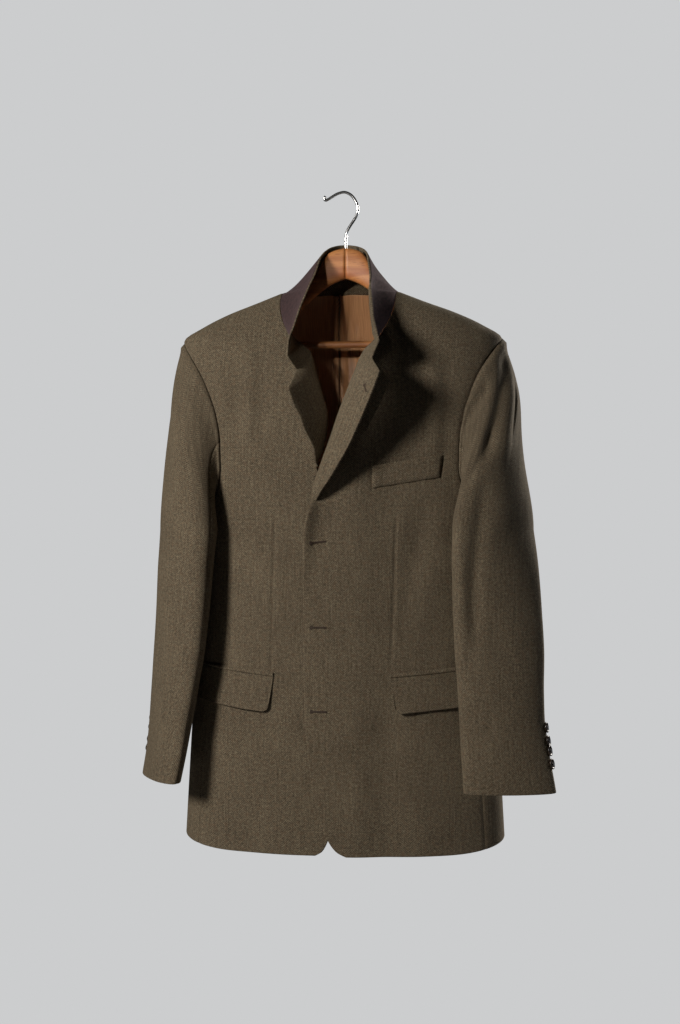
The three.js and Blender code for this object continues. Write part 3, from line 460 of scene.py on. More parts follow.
# %% Edges, lapels and armholes as tables
#             z, right, left
FRONT_EDGE = [(-143, -88, 76), (-157, -88, 76), (-173, -85, 74), (-191, -79, 68), (-210, -67, 58),
              (-217, -61, 54), (-236, -39, 38), (-262, -31, 28), (-290, -23, 17), (-322, -15, 5),
              (-357, -18, -7), (-392, -28, -19.5), (-422, -6, -30), (-446, 3, -36), (-480, 6, -43),
              (-557, 6, -46), (-640, 6, -46), (-720, 6, -45), (-780, 5, -41), (-830, 1, -35),
              (-873, -4, -25), (-900, -10, -16), (-916, -16, -7), (-925, -22, 2), (-930, -31, 13)]
#          z, out, forward, up: the lapel's free edge, from the front at the same level
LAPEL = {
    "right": [(-236, 12, 47, -27), (-262, 27, 78, -28), (-290, 28, 70, -21), (-322, 26, 55, -14),
              (-357, 12, 28, -8), (-392, 0, 0, 0)],
    "left": [(-236, 16, 45, -11), (-262, 40, 73, -6), (-290, 39, 68, -9), (-322, 36, 58, -10),
             (-357, 32, 46, -7), (-392, 22, 30, -8), (-422, 12, 14, -5), (-446, 0, 0, 0)],
}
#           z, front angle, back angle, place round the sleeve
ARMHOLE = [(-210, 90, 90, 0), (-217, 75, 105, 17), (-236, 62, 117, 36), (-262, 54, 125, 53),
           (-290, 49.5, 129, 68), (-322, 46, 131, 84), (-357, 44.5, 131, 101), (-392, 44.5, 129, 118),
           (-422, 47, 126, 134), (-446, 54, 122, 149), (-461, 68, 110, 164), (-468, 90, 90, 180)]
SIDE_SEAM = {1: (54, 56.5), 2: (122, 118)}  # ring angles at the chest and at the hem
EDGE_COLUMN = {"right": 1, "left": 2}


def outer_angle(z, where):
    """The ring angle where a front (1) or a back (2) ends at the side."""
    top, hem = SIDE_SEAM[where]
    seam = top + (hem - top) * (z - CHEST) / (HEM - CHEST)
    return np.where(z > -210, 90, np.where(z > CHEST, curve(ARMHOLE, where, z), seam))


def spaced(stops, step):
    """Levels through every stop, about `step` apart."""
    out = [stops[0]]
    for a, b in zip(stops, stops[1:]):
        out += list(np.linspace(a, b, max(1, round(abs(b - a) / step)) + 1)[1:])
    return np.array(out, float)


LEVELS = spaced([-143, -210, -217, -236, -262, -392, -446, -900, -916, -925, -930], 4.5)
LEVELS = np.unique(np.concatenate([LEVELS, [-211, -213, -922, -928]]))[::-1]
LAPEL_COLUMNS, FRONT_COLUMNS = 16, 110


def lapel_grid(side, z):
    """Rows of the lapel from its free edge to just before the roll line; NaN where there is none."""
    table = LAPEL[side]
    inside = (z <= table[0][0]) & (z >= table[-1][0])
    row = []
    for k in (1, 2, 3):
        straight = np.interp(-z, [236, 262], [table[0][k], table[1][k]])
        row.append(np.where(z > -262, straight, curve(table[1:], k, z)))
    out, forward, up = row
    base = front(side, angle_at(curve(FRONT_EDGE, EDGE_COLUMN[side], z), z), z)
    sign = SIDE[side]
    tip = base + np.stack([sign * out, -forward, up], -1)
    roll = 4 * np.minimum(1, forward / 60)
    bend = base + np.stack([-sign * roll, -0.4 * forward, 0.3 * up], -1)
    t = np.linspace(0, 1, LAPEL_COLUMNS + 1)[:-1][None, :, None]
    grid = (1 - t) ** 2 * tip[:, None] + 2 * t * (1 - t) * bend[:, None] + t**2 * base[:, None]
    grid[~inside] = np.nan
    return grid


def front_grid(side):
    """The net of a front: the lapel's columns, then the panel's, out to the side seam."""
    z = LEVELS
    inner = angle_at(curve(FRONT_EDGE, EDGE_COLUMN[side], z), z)
    outer = SIDE[side] * outer_angle(z, 1)
    t = np.linspace(0, 1, FRONT_COLUMNS + 1)
    angle = inner[:, None] + (outer - inner)[:, None] * t
    panel = front(side, angle, np.broadcast_to(z[:, None], angle.shape))
    return np.concatenate([lapel_grid(side, z), panel], 1)


def front_grain(side, grid):
    """Metres along the weft from the centre front, and up the warp."""
    panel = grid[:, LAPEL_COLUMNS:]
    across = lengths(panel, 1) + np.abs(panel[:, :1, 0]) * np.sign(SIDE[side] * panel[:, :1, 0])
    turned = lengths(grid[:, :LAPEL_COLUMNS + 1][:, ::-1], 1)[:, ::-1][:, :-1]
    across = np.concatenate([across[:, :1] - turned, across], 1)
    return np.stack([across, np.broadcast_to(grid[:, -1:, 2], across.shape)], -1)


# %% The relief of the fronts
DARTS = {"right": [(-86, -450), (-90, -560), (-93, -676)], "left": [(82, -450), (79, -560), (74, -676)]}
SEAM_DIP, SEAM_WIDE = 0.7, 3.0


def seam(distance):
    """The dip of the cloth towards a seam that pulls it in."""
    return -SEAM_DIP * np.exp(-((distance / SEAM_WIDE) ** 2))


def front_relief(side, grid):
    """How far the cloth of a front moves in or out: seams, dart, pocket lines and folds."""
    x, z = grid[..., 0], grid[..., 2]
    panel = grid[:, LAPEL_COLUMNS:]
    d_edge = np.maximum(0, SIDE[side] * (x - curve(FRONT_EDGE, EDGE_COLUMN[side], z)))
    d_edge[:, :LAPEL_COLUMNS] = 0
    d_side = np.full(grid.shape[:2], 1e3)
    d_side[:, LAPEL_COLUMNS:] = lengths(panel[:, ::-1], 1)[:, ::-1]
    r = seam(d_side)
    r = r + fold(x, z, DARTS[side], 1.5, -1.7, 0.08, 0.05) + fold(x, z, DARTS[side], 20, 0.6)
    r = r + 0.35 * sag(x, z, 70, 3 if side == "left" else 5) * smooth(d_edge, 0, 60) * smooth(d_side, 0, 40)
    jet_line = [(SIDE[side] * (POCKET_INNER[side] - 2), -677.5), (SIDE[side] * 207, -666)]
    r = r + fold(x, z, jet_line, 1.5, -1.2, 0.02, 0.02)
    if side == "right":
        r = r + fold(x, z, [(-146, -212), (-143, -300), (-138, -390)], 16, -2.6)
        r = r + fold(x, z, [(-107, -201), (-107, -299), (-112, -380)], 15, -2.2)
        r = r + fold(x, z, [(-126, -205), (-125, -300), (-124, -380)], 12, 1.8)
        r = r + fold(x, z, [(-165, -480), (-158, -600), (-150, -660)], 14, -1.8)
        r = r + fold(x, z, [(-56, -700), (-60, -800), (-66, -925)], 26, 1.2, 0.3, 0)
        r = r + fold(x, z, [(-118, -740), (-122, -830), (-126, -925)], 24, -1.3, 0.3, 0)
    else:
        curl = smooth(-z, 425, 450) * (1 - smooth(-z, 470, 575))
        r = r + curl * (8 * np.exp(-((d_edge / 11) ** 2)) - 1.2 * np.exp(-(((d_edge - 30) / 14) ** 2)))
        r = r + fold(x, z, [(128, -415), (107, -521), (87, -640)], 20, -3.0)
        r = r + fold(x, z, [(150, -430), (134, -530), (112, -650)], 18, 1.8)
        r = r + fold(x, z, [(112, -205), (118, -300), (122, -370)], 18, -2.2)
        r = r + fold(x, z, [(150, -220), (150, -320), (146, -420)], 14, -2.0)
        r = r + fold(x, z, [(49, -391), (49, -423.5), (142, -408.5), (146, -377)], 1.5, -1.3, 0.03, 0.03)
        r = r + fold(x, z, [(49, -390.5), (146, -375.5)], 1.4, -1.0, 0.03, 0.03)
        r = r + fold(x, z, [(132, -215), (135, -300), (136, -400)], 12, 1.8)
        r = r + fold(x, z, [(140, -470), (132, -560), (124, -660)], 18, -1.8)
        r = r + fold(x, z, [(20, -470), (26, -600), (24, -760)], 22, -1.8)
        r = r + fold(x, z, [(58, -720), (60, -820), (62, -925)], 24, -1.2, 0.3, 0)
        r = r + fold(x, z, [(104, -740), (108, -830), (112, -925)], 26, 1.2, 0.3, 0)
    return r


# %% Build the fronts
fronts = {}
for side in ("left", "right"):
    grid = front_grid(side)
    relief = front_relief(side, grid)
    points, cells, there = net(grid, from_body)
    normals = grow(points, cells)
    grid[there] = points + normals * relief[there][:, None]
    panel = grid[:, LAPEL_COLUMNS:]
    d_edge = np.concatenate([np.full((len(grid), LAPEL_COLUMNS), 99.0), lengths(panel, 1)], 1)
    d_edge[LEVELS > -392] = 99
    d_hem = np.broadcast_to((LEVELS - HEM)[:, None], d_edge.shape)
    thick = 1.2 + 1.2 * np.exp(-((np.minimum(d_edge, d_hem) / 7) ** 2))
    fronts[side] = grid
    grain = front_grain(side, grid)
    shell(f"front_{side}", grid, grain, WOOL, from_body, thick, hide=[f"{side}_front"])

# %% [markdown]
# ## The backs and the sides
# The back is two panels joined down the middle, and a side body runs from under each arm to the hem. They
# are plain surfaces of the form, so each is one net; the seams between them pull the cloth in a little.
# The folds here are softer than in front: the shoulder blades hold the cloth out and it falls from there.

# %% Backs
BACK_COLUMNS = 60


def back_grid(side, levels=LEVELS, columns=BACK_COLUMNS, first=0.0):
    """The net of half the back, from the side seam (or a share `first` past it) to the middle."""
    t = np.linspace(first, 1, columns + 1)
    outer = outer_angle(levels, 2)
    angle = outer[:, None] + (180 - outer)[:, None] * t
    return body(SIDE[side] * angle, np.broadcast_to(levels[:, None], angle.shape))


def back_relief(side, grid):
    """Seams and folds of half the back."""
    x, z = grid[..., 0] * SIDE[side], grid[..., 2]
    d_side, d_middle = lengths(grid, 1), lengths(grid[:, ::-1], 1)[:, ::-1]
    r = seam(d_side) + seam(d_middle) * smooth(-z, 150, 165)
    r = r + 0.4 * sag(x, z, 80, 11 + SIDE[side]) * smooth(d_side, 0, 40) * smooth(d_middle, 0, 40)
    r = r + fold(x, z, [(120, -230), (112, -330), (98, -440)], 24, 2.2)
    r = r + fold(x, z, [(172, -290), (165, -380), (150, -470)], 16, -2.0 - 0.5 * SIDE[side])
    r = r + fold(x, z, [(60, -190), (36, -205), (8, -208)], 12, -1.0)
    r = r + fold(x, z, [(70, -640), (78, -780), (84, -925)], 26, 2.6, 0.3, 0)
    r = r + fold(x, z, [(126, -600), (130, -760), (134, -925)], 24, -2.4 + 0.6 * SIDE[side], 0.3, 0)
    return r + fold(x, z, [(30, -560), (26, -700), (24, -925)], 24, -1.8, 0.4, 0)


def lay_relief(grid, relief, away):
    """Moves a grid's points along its own normals; returns the grid's normals too."""
    points, cells, there = net(grid, away)
    normals = grow(points, cells)
    grid[there] = points + normals * np.broadcast_to(relief, grid.shape[:2])[there][:, None]
    points, cells, there = net(grid, away)
    n = np.full(grid.shape, np.nan)
    n[there] = grow(points, cells)
    return n


def hem_thick(levels_above_hem):
    """Thickness of the cloth, which is turned up at the hem."""
    return 1.2 + 1.1 * np.exp(-((levels_above_hem / 7) ** 2))


for side in ("left", "right"):
    grid = back_grid(side)
    lay_relief(grid, back_relief(side, grid), from_body)
    across = SIDE[side] * lengths(grid[:, ::-1], 1)[:, ::-1]
    grain = np.stack([across, np.broadcast_to(grid[:, -1:, 2], across.shape)], -1)
    thick = hem_thick(np.broadcast_to((LEVELS - HEM)[:, None], across.shape))
    shell(f"back_{side}", grid, grain, WOOL, from_body, thick, hide=[f"{side}_back"])

# %% Side bodies
SIDE_COLUMNS, SIDE_ROWS = 36, 110


def side_grid(side):
    """The net of a side body, from the foot of the armhole to the hem."""
    s = np.linspace(0, 1, SIDE_ROWS + 1)[:, None]
    t = np.linspace(0, 1, SIDE_COLUMNS + 1)[None, :]
    (fore, fore_hem), (hind, hind_hem) = SIDE_SEAM[1], SIDE_SEAM[2]
    top_angle = fore + (hind - fore) * t
    foot = [(-row[1], row[0]) for row in ARMHOLE[9:]] + [(-row[2], row[0]) for row in ARMHOLE[9:-1][::-1]]
    top = curve(foot, 1, -top_angle)
    z = top + (HEM - top) * s
    share = np.clip((z - CHEST) / (HEM - CHEST), 0, 1)
    a, b = fore + (fore_hem - fore) * share, hind + (hind_hem - hind) * share
    return body(SIDE[side] * (a + (b - a) * t), z)


for side in ("left", "right"):
    grid = side_grid(side)
    d_front, d_back = lengths(grid, 1), lengths(grid[:, ::-1], 1)[:, ::-1]
    y, z = grid[..., 1], grid[..., 2]
    relief = seam(d_front) + seam(d_back) + fold(y, z, [(-6, -520), (4, -700), (8, -925)], 20, -2.2, 0.3, 0)
    lay_relief(grid, relief, from_body)
    grain = np.stack([SIDE[side] * -d_back, np.broadcast_to(grid[:, :1, 2], d_front.shape)], -1)
    thick = hem_thick(np.broadcast_to((lengths(grid[::-1], 0)[::-1]), d_front.shape))
    shell(f"side_{side}", grid, grain, WOOL, from_body, thick, hide=[f"{side}_side"])

# %% [markdown]
# ## The sleeves
# A tailored sleeve is two curved pieces, a broad one over the outside and a narrow one inside, set into the
# armhole with more cloth than the hole has edge. That fullness is eased in with steam and makes the soft
# roll at the sleeve head. Each ring of the net starts on the armhole and swings down into the hanging arm.

# %% Sleeve rings
#              z, x, y, broad, deep, turn
SLEEVE = {
    "left": [(-480, 214, -66, 66, 30, 52), (-530, 217, -76, 65, 29, 62), (-590, 220, -82, 64, 27, 70),
             (-645, 223, -86, 63, 25, 75), (-700, 225, -89, 60, 23, 77), (-745, 227, -91, 59, 22, 78),
             (-790, 231, -94, 60, 20, 80), (-837, 236, -97, 62, 19, 80)],
    "right": [(-480, -215, -58, 64, 34, 36), (-530, -219, -60, 64, 31, 37), (-590, -223, -60, 63, 28, 38),
              (-645, -228, -60, 62, 26, 38), (-700, -235, -58, 61, 24, 36), (-745, -241, -56, 61, 23, 33),
              (-790, -248, -53, 66, 21, 30), (-831, -256, -51, 71, 20, 28)],
}
CLEAR = 3.5  # a sleeve hangs this far off the body
FOREARM, HIND = 101, 259  # places of the two sleeve seams, in degrees round from the top


def sleeve_point(side, z, around):
    """A point of the hanging arm, at a place in degrees round from its top."""
    table, sign = SLEEVE[side], SIDE[side]
    z, around = np.broadcast_arrays(np.asarray(z, float), np.radians(around))
    x, y, broad, deep, turn = (curve(table, k, z) for k in range(1, 6))
    turn = np.radians(turn)
    ahead, out = broad * np.sin(around), deep * np.cos(around)
    return np.stack([x + sign * (out * np.cos(turn) - ahead * np.sin(turn)),
                     y - ahead * np.cos(turn) - out * np.sin(turn), z], -1)


def clear_of_body(p, clearance=CLEAR):
    """Moves points that lie in the body straight out of it."""
    centre, half = curve(BODY, 1, p[..., 2]), curve(BODY, 2, p[..., 2]) + clearance
    depth = np.where(p[..., 1] < 0, curve(BODY, 3, p[..., 2]), curve(BODY, 4, p[..., 2])) + clearance

    def size(q):
        return np.abs((q[..., 0] - centre) / half) ** SQUARE + np.abs(q[..., 1] / depth) ** SQUARE

    def lean(v, n):
        return np.sign(v) * np.abs(v) ** (SQUARE - 1) / n**SQUARE

    normal = np.stack([lean(p[..., 0] - centre, half), lean(p[..., 1], depth), 0 * centre], -1)
    normal /= np.maximum(np.linalg.norm(normal, axis=-1, keepdims=True), 1e-12)
    low, high = np.zeros(centre.shape), np.full(centre.shape, 120.0)
    for _ in range(30):
        mid = (low + high) / 2
        inside = size(p + normal * mid[..., None]) < 1
        low, high = np.where(inside, mid, low), np.where(inside, high, mid)
    return np.where((size(p) < 1)[..., None], p + normal * high[..., None], p)


CAP_ROWS = 34


def sleeve_grid(side, around):
    """The whole sleeve at the given places round it. Rows run from the armhole to the cuff."""
    sign, first, last = SIDE[side], SLEEVE[side][0][0], SLEEVE[side][-1][0]
    fore = np.where(around > 180, 360 - around, around)
    fore = np.abs(np.where(fore < -180, fore + 360, fore))
    hind = (around > 180) | (around < 0)
    places = [(-row[3], row[0], row[1], row[2]) for row in ARMHOLE]
    hole_z = curve(places, 1, -fore)
    hole_angle = np.where(hind, curve(ARMHOLE, 2, hole_z), curve(ARMHOLE, 1, hole_z))
    start = body(sign * hole_angle, hole_z)
    end = sleeve_point(side, first, around)
    length = np.linalg.norm(end - start, axis=-1, keepdims=True)
    reach = (0.25 + 0.3 * np.abs(np.sin(np.radians(around))))[:, None]
    off = start * [1, 1, 0] - np.stack([curve(BODY, 1, hole_z), 0 * hole_z, 0 * hole_z], -1)
    off /= np.linalg.norm(off, axis=-1, keepdims=True)
    leave = (off * reach + np.concatenate([0 * reach, 0 * reach, reach - 1], -1)) * length
    arrive = np.array([0, 0, -1.0]) * length
    t = np.linspace(0, 1, CAP_ROWS + 1)[:-1, None, None]
    h = 2 * t**3 - 3 * t**2 + 1
    cap = start * h + end * (1 - h) + leave * (t**3 - 2 * t**2 + t) + arrive * (t**3 - t**2)
    cap = np.concatenate([cap[:1], clear_of_body(cap[1:])])
    z = spaced([first, last + 12, last], 4.5)[:, None]
    arm = clear_of_body(sleeve_point(side, z, np.broadcast_to(around, (len(z), len(around)))))
    return np.concatenate([cap, arm])


# %% Relief of the sleeves
def facing_way(normals, sign):
    """1 where the cloth faces the front (sign -1) or the back (sign 1), fading round the side."""
    return smooth(normals[..., 1] * sign, 0.05, 0.5)


def sleeve_relief(side, grid, around, normals):
    """Roll of the sleeve head, its eased fullness and the folds of the arm."""
    x, z = grid[..., 0], grid[..., 2]
    s = SIDE[side]
    down = lengths(grid, 0)
    up_top = np.cos(np.radians(around))[None, :]
    head = smooth(up_top, -0.3, 0.7)
    r = 1.2 * head * np.exp(-(((down - 8) / 8) ** 2)) - 0.7 * np.exp(-((down / 2.5) ** 2))
    ease = np.sin(np.radians(around) * 23)[None, :] * np.exp(-(((down - 12) / 12) ** 2))
    r = r + 0.14 * head * ease * smooth(down, 0, 5)
    f, b = facing_way(normals, -1), facing_way(normals, 1)
    soft = smooth(down, 0, 60)
    r = r + 0.5 * sag(x, z, 60, 21 + s) * soft
    if side == "left":
        crown = smooth(up_top, 0.1, 0.9)
        r = r + crown * (6 * np.exp(-(((z + 290) / 55) ** 2)) - 4 * np.exp(-(((z + 560) / 70) ** 2)))
        drop = [(230, -226), (226, -275), (218, -323), (210, -364), (203, -400)]
        r = r + f * fold(x, z, drop, 8, -6, 0.15, 0.3)
        r = r + f * fold(x, z, [(240, -262), (235, -330), (226, -390)], 9, 3.2)
        r = r + f * fold(x, z, [(212, -272), (198, -296), (180, -326), (164, -338)], 7, -3.6)
        r = r + f * fold(x, z, [(216, -326), (203, -374), (180, -410), (160, -424)], 8, -3.4)
        r = r + f * fold(x, z, [(205, -392), (197, -480), (190, -550), (190, -660)], 11, -4.2)
        r = r + f * fold(x, z, [(170, -430), (172, -540), (175, -680)], 9, 2.4)
        r = r + f * fold(x, z, [(236, -330), (232, -420), (228, -500)], 16, 1.6)
        r = r + f * fold(x, z, [(212, -600), (226, -650), (244, -672)], 13, -1.6)
        r = r + f * fold(x, z, [(186, -710), (200, -745), (222, -768)], 12, -1.4)
    else:
        r = r + f * fold(x, z, [(-236, -232), (-226, -300), (-212, -350)], 12, -1.5)
        r = r + f * fold(x, z, [(-228, -560), (-225, -590), (-212, -652)], 16, -1.8)
        r = r + f * fold(x, z, [(-252, -500), (-246, -590), (-240, -660)], 18, 1.4)
        r = r + f * fold(x, z, [(-214, -680), (-226, -730), (-238, -770)], 14, -1.4)
        r = r + f * fold(x, z, [(-240, -700), (-246, -760), (-250, -830)], 12, 1.2, 0.3, 0)
    r = r + b * fold(s * x, z, [(232, -260), (226, -330), (216, -400)], 13, -2.6)
    r = r + b * fold(s * x, z, [(212, -520), (228, -560), (240, -610)], 13, -2.0)
    return r + b * fold(s * x, z, [(236, -640), (232, -720), (236, -800)], 14, 1.6)


def out_of_sleeve(side):
    """A function that gives the way out of that sleeve at each point."""
    def away(p):
        z = np.minimum(p[..., 2], SLEEVE[side][0][0])
        return p - np.stack([curve(SLEEVE[side], 1, z), curve(SLEEVE[side], 2, z), p[..., 2]], -1)
    return away


# %% Build the sleeves
sleeves = {}
for side in ("left", "right"):
    for part, a, b, columns in (("top", HIND - 360, FOREARM, 104), ("under", FOREARM, HIND, 84)):
        around = np.linspace(a, b, columns + 1)
        grid = sleeve_grid(side, around)
        away = out_of_sleeve(side)
        points, cells, there = net(grid, away)
        normals = grow(points, cells).reshape(grid.shape)
        relief = sleeve_relief(side, grid, around, normals)
        d_one, d_two = lengths(grid, 1), lengths(grid[:, ::-1], 1)[:, ::-1]
        pull = seam(d_one) + seam(d_two)
        if part == "under":
            relief = relief * 0.4
        else:
            low = smooth(-grid[..., 2], 735, 760)
            relief = relief + low * (1 + 2 * smooth(-grid[..., 2], 760, 842)) * np.exp(-((d_one / 14) ** 2))
            pull = pull * (1 - low * (d_one < d_two))
        lay_relief(grid, relief + pull, away)
        sleeves[side, part] = grid
        up = lengths(grid[::-1], 0)[::-1]
        middle = columns // 2
        across = lengths(grid, 1)
        grain = np.stack([across - across[:, middle:middle + 1],
                          np.broadcast_to(up[:, middle:middle + 1], across.shape)], -1)
        shell(f"{part}_sleeve_{side}", grid, grain, WOOL, away, hem_thick(up),
              hide=[f"{side}_{part}_sleeve"])

# %% [markdown]
# ## The collar, standing
# A collar has two layers: melton below, for its stretch, and suiting above, drawn over the edge by a
# couple of millimetres so that no felt shows when it is worn down. Here it stands, so the melton is
# outside. The net runs from one gorge round the back of the neck to the other.

# %% Collar net
RIM = {
    "right": [(-51, -130, -263), (-62, -150, -244), (-62, -143, -226), (-61, -135, -216), (-58, -124, -204),
              (-52, -104, -176), (-43, -78, -144), (-36, -50, -118), (-32, -22, -93), (-27, -2, -81),
              (-20, 12, -74), (-10, 23, -70), (1, 28, -69)],
    "left": [(54, -133, -247), (65, -150, -225), (61, -141, -211), (58, -130, -202), (54, -114, -190),
             (50, -92, -168), (45, -64, -143), (41, -38, -120), (36, -16, -97), (32, 2, -83),
             (25, 13, -76), (13, 23, -71), (1, 28, -69)],
}
GORGE_LEVELS = [-236, -217, -210, -191, -173, -157, -143]
COLLAR_UP = 22  # columns from the neck seam to the rim
BEND_UP = [0, 0, 0, 0, 0, 0, 3, 7, 7, 3, 0, 0, 0]  # its bend, higher where it clears the hanger
BELL = 6.75  # brings the top of t * t * (1 - t) to 1
HOLLOW = {  # how far the collar bows in below its rim, station by station
    "right": [0, 0, 2, 3, 3, 3, 2, 1, 0, 0, 0, 0, 0],
    "left": [0, 1, 5, 8, 9, 10, 9, 2, 0, 0, 0, 0, 0],
}


def collar_half(side):
    """Half the collar, from its end on the gorge to the middle of the back."""
    k = spaced(list(range(13)), 0.14)
    z = np.interp(k, range(7), GORGE_LEVELS)
    edge = angle_at(curve(FRONT_EDGE, EDGE_COLUMN[side], z), z)
    angle = np.where(k <= 6, edge, SIDE[side] * (90 + 15 * np.clip(k - 6, 0, 6)))
    start = np.where((k <= 6)[:, None], front(side, edge, z), body(angle, z))
    table = [(-i, *point) for i, point in enumerate(RIM[side])]
    first = lapel_grid(side, np.array([-236.0]))[0, 0]
    rim = np.stack([curve(table[1:], c, -k) for c in (1, 2, 3)], -1)
    share = np.clip(k, 0, 1)[:, None]
    rim = np.where(share < 1, first + (rim[np.argmin(np.abs(k - 1))] - first) * share, rim)
    sign = SIDE[side]
    out, forward, up = LAPEL[side][0][1:]
    lapel_bend = start[0] + [-sign * 4 * min(1, forward / 60), -0.4 * forward, 0.3 * up]
    bend = lapel_bend + ((start + rim) / 2 - [sign * 2, 0, 4] - lapel_bend) * share
    bend[:, 2] += np.interp(k, range(13), BEND_UP)
    t = np.linspace(0, 1, COLLAR_UP + 1)[None, :, None]
    surface = (1 - t) ** 2 * start[:, None] + 2 * t * (1 - t) * bend[:, None] + t**2 * rim[:, None]
    hollow = np.interp(k, range(13), HOLLOW[side])[:, None] * BELL * (t**2 * (1 - t))[..., 0]
    surface[..., 0] -= sign * hollow
    return surface


collar = np.concatenate([collar_half("right"), collar_half("left")[::-1][1:]])
along, up = lengths(collar, 0)[:, :1] + 0 * collar[..., 0], lengths(collar, 1)
relief = 0.5 * sag(along, up, 40, 31) * smooth(along, 0, 40) + seam(up)
collar_normals = lay_relief(collar, relief, from_body)
grain = np.stack([along, up], -1)
d_rim = lengths(collar[:, ::-1], 1)[:, ::-1]
short = COLLAR_UP
while d_rim[len(collar) // 2, short] < 2.0:
    short -= 1
under = slice(0, short + 1)
shell("undercollar_melton", collar[:, under], grain[:, under], MELTON, from_body, 1.3, 0.2,
      normals=collar_normals[:, under], hide=["undercollar"])
turned = 1.5 * np.exp(-((d_rim / 2.2) ** 2))
shell("collar_top", collar, grain, WOOL, from_body, 1.2 + turned, -1.5 + turned,
      normals=collar_normals, hide=["top_collar"])

# %% [markdown]
# ## The facings
# The facing is the part of the inside that shows when a lapel turns: a second layer of suiting, sewn to the
# front round the edge and turned out. It follows the front's own points, 1.6 mm behind them.

# %% Facings
FACING_IN = 22  # columns past the roll line
for side in ("left", "right"):
    rows = (LEVELS <= -236) & (LEVELS >= LAPEL[side][-1][0])
    cols = slice(0, LAPEL_COLUMNS + FACING_IN)
    points, cells, there = net(fronts[side], from_body)
    n = np.full(fronts[side].shape, np.nan)
    n[there] = grow(points, cells)
    grid, n = fronts[side][rows][:, cols], n[rows][:, cols]
    grain = front_grain(side, fronts[side])[rows][:, cols]
    shell(f"facing_{side}", grid, grain, WOOL, from_body, 1.2, -1.5, inset=0.5,
          normals=n, hide=[f"{side}_facing"])

# %% [markdown]
# ## The back lining
# Satin lines the back from the collar's seam to just above the hem. It is cut wider than the cloth and
# pleated down the middle, so the back can stretch without tearing it. The pleat stands as a thin fold that
# wanders a little; the net has its points close together there, because a sharp fold needs them. Along the
# pleat's edge, and more faintly along a soft valley beside it, the satin's colour is darkened nearly to
# black: painted shade for the shadow deep in the fold.

# %% Lining net with its pleat
def pleat_line(z):
    """Where the pleat's edge lies across the back: it wanders a little on its way down."""
    return -17 + 1.2 * np.sin(z / 31) + 0.7 * np.sin(z / 13 + 1)


lining_levels = spaced([-143.5, -240, -446, -900], 5)
right = back_grid("right", lining_levels, 30, 0.2)
left = back_grid("left", lining_levels, 30, 0.2)
edge_to_edge = np.concatenate([right, left[:, ::-1][:, 1:]], 1)
path = lengths(edge_to_edge, 1)
fine = np.concatenate([np.linspace(0, 0.44, 60), np.linspace(0.44, 0.56, 90)[1:],
                       np.linspace(0.56, 1, 60)[1:]])
middle = len(fine) // 2
grid = np.stack([np.stack([np.interp(fine, row_path / row_path[-1], row[:, c]) for c in range(3)], -1)
                 for row, row_path in zip(edge_to_edge, path)])
x, z = grid[..., 0], grid[..., 2]
off = x - pleat_line(z)
deep = 1 - smooth(-z, 430, 620)
pleat = 6.5 * np.exp(-((off / 13) ** 2)) * (off > 0) + 7.5 * np.exp(-((off / 7) ** 2)) * (off <= 0)
pleat = (pleat - 7 * np.exp(-((off / 1.7) ** 2))) * deep
drag = fold(x, z, [(8, -160), (12, -230), (9, -330)], 6, 5.0)
drag = drag + fold(x, z, [(24, -170), (30, -330), (26, -420)], 7, 4)
drag = drag - fold(x, z, [(-1, -150), (1, -300), (-2, -420)], 5, 3.0)
tug = 0.25 * np.sin(z / 8.5 + x / 9) * np.exp(-((off / 14) ** 2)) * smooth(-z, 215, 260) * deep
relief = -pleat - drag * deep - tug - 1.2 * sag(x, z, 45, 41) * smooth(-z, 146, 200) - 0.8
relief = np.minimum(relief, -0.8 - 0.6 * smooth(-z, 146, 170))
shoulder = (z > -240) & (np.abs(x - 1.5) > 175)
grid[shoulder] = np.nan
lay_relief(grid, relief, from_body)
across = lengths(grid, 1)
grain = np.stack([across - across[:, middle:middle + 1], z], -1)
lining = shell("lining_back", grid, grain, SATIN, from_body, 0.6, -2.1,
               hide=["back_lining"])
# Painted shade: each point of the lining gets a weight, full on the pleat's edge and fainter along a soft
# valley beside it, that darkens the satin there for the shadow inside the fold.
co = np.empty(len(lining.data.vertices) * 3)
lining.data.vertices.foreach_get("co", co)
x, z = co[0::3] / MM, co[2::3] / MM
off = x - pleat_line(z)
second = np.exp(-(((off - 15 - 3 * np.sin(z / 23)) / 4) ** 2)) * smooth(-z, 150, 190)
pleat_shade_weight = np.exp(-((off / 1.4) ** 2)) + 0.35 * second
pleat_painted_shade = lining.data.attributes.new("pleat_painted_shade", "FLOAT", "POINT")
pleat_painted_shade.data.foreach_set("value", 0.92 * np.clip(pleat_shade_weight, 0, 1))
print("lining rows", len(lining_levels))

# %% [markdown]
# ## Pockets
# A welt is a folded strip sewn into a slanted slit; a flap hangs from under a narrow jet. All three are
# laid on the front by the same function that shapes the front, folds included, so they never float or
# sink. A pressed flap is firmer than the front and its free edge stands off a little.


# %% Lay a piece on a front
def on_front(side, x, z):
    """Points of the front at a place seen from the front, with its folds."""
    grid = front(side, angle_at(x, z), z)
    far = np.zeros((len(grid), LAPEL_COLUMNS, 3))
    points, cells, there = net(grid, from_body)
    normals = grow(points, cells).reshape(grid.shape)
    carried = np.concatenate([far, grid], 1)
    relief = front_relief(side, carried)[:, LAPEL_COLUMNS:]
    ends = seam(lengths(grid[:, ::-1], 1)[:, ::-1])
    return grid + normals * (relief - ends)[..., None]


def patch(name, side, x, z, lift, thick, hide):
    """A small piece of suiting laid on a front at the places x, z."""
    grid = on_front(side, x, z)
    grain = np.stack([x, z], -1)
    return shell(name, grid, grain, WOOL, from_body, thick, lift, hide=hide)


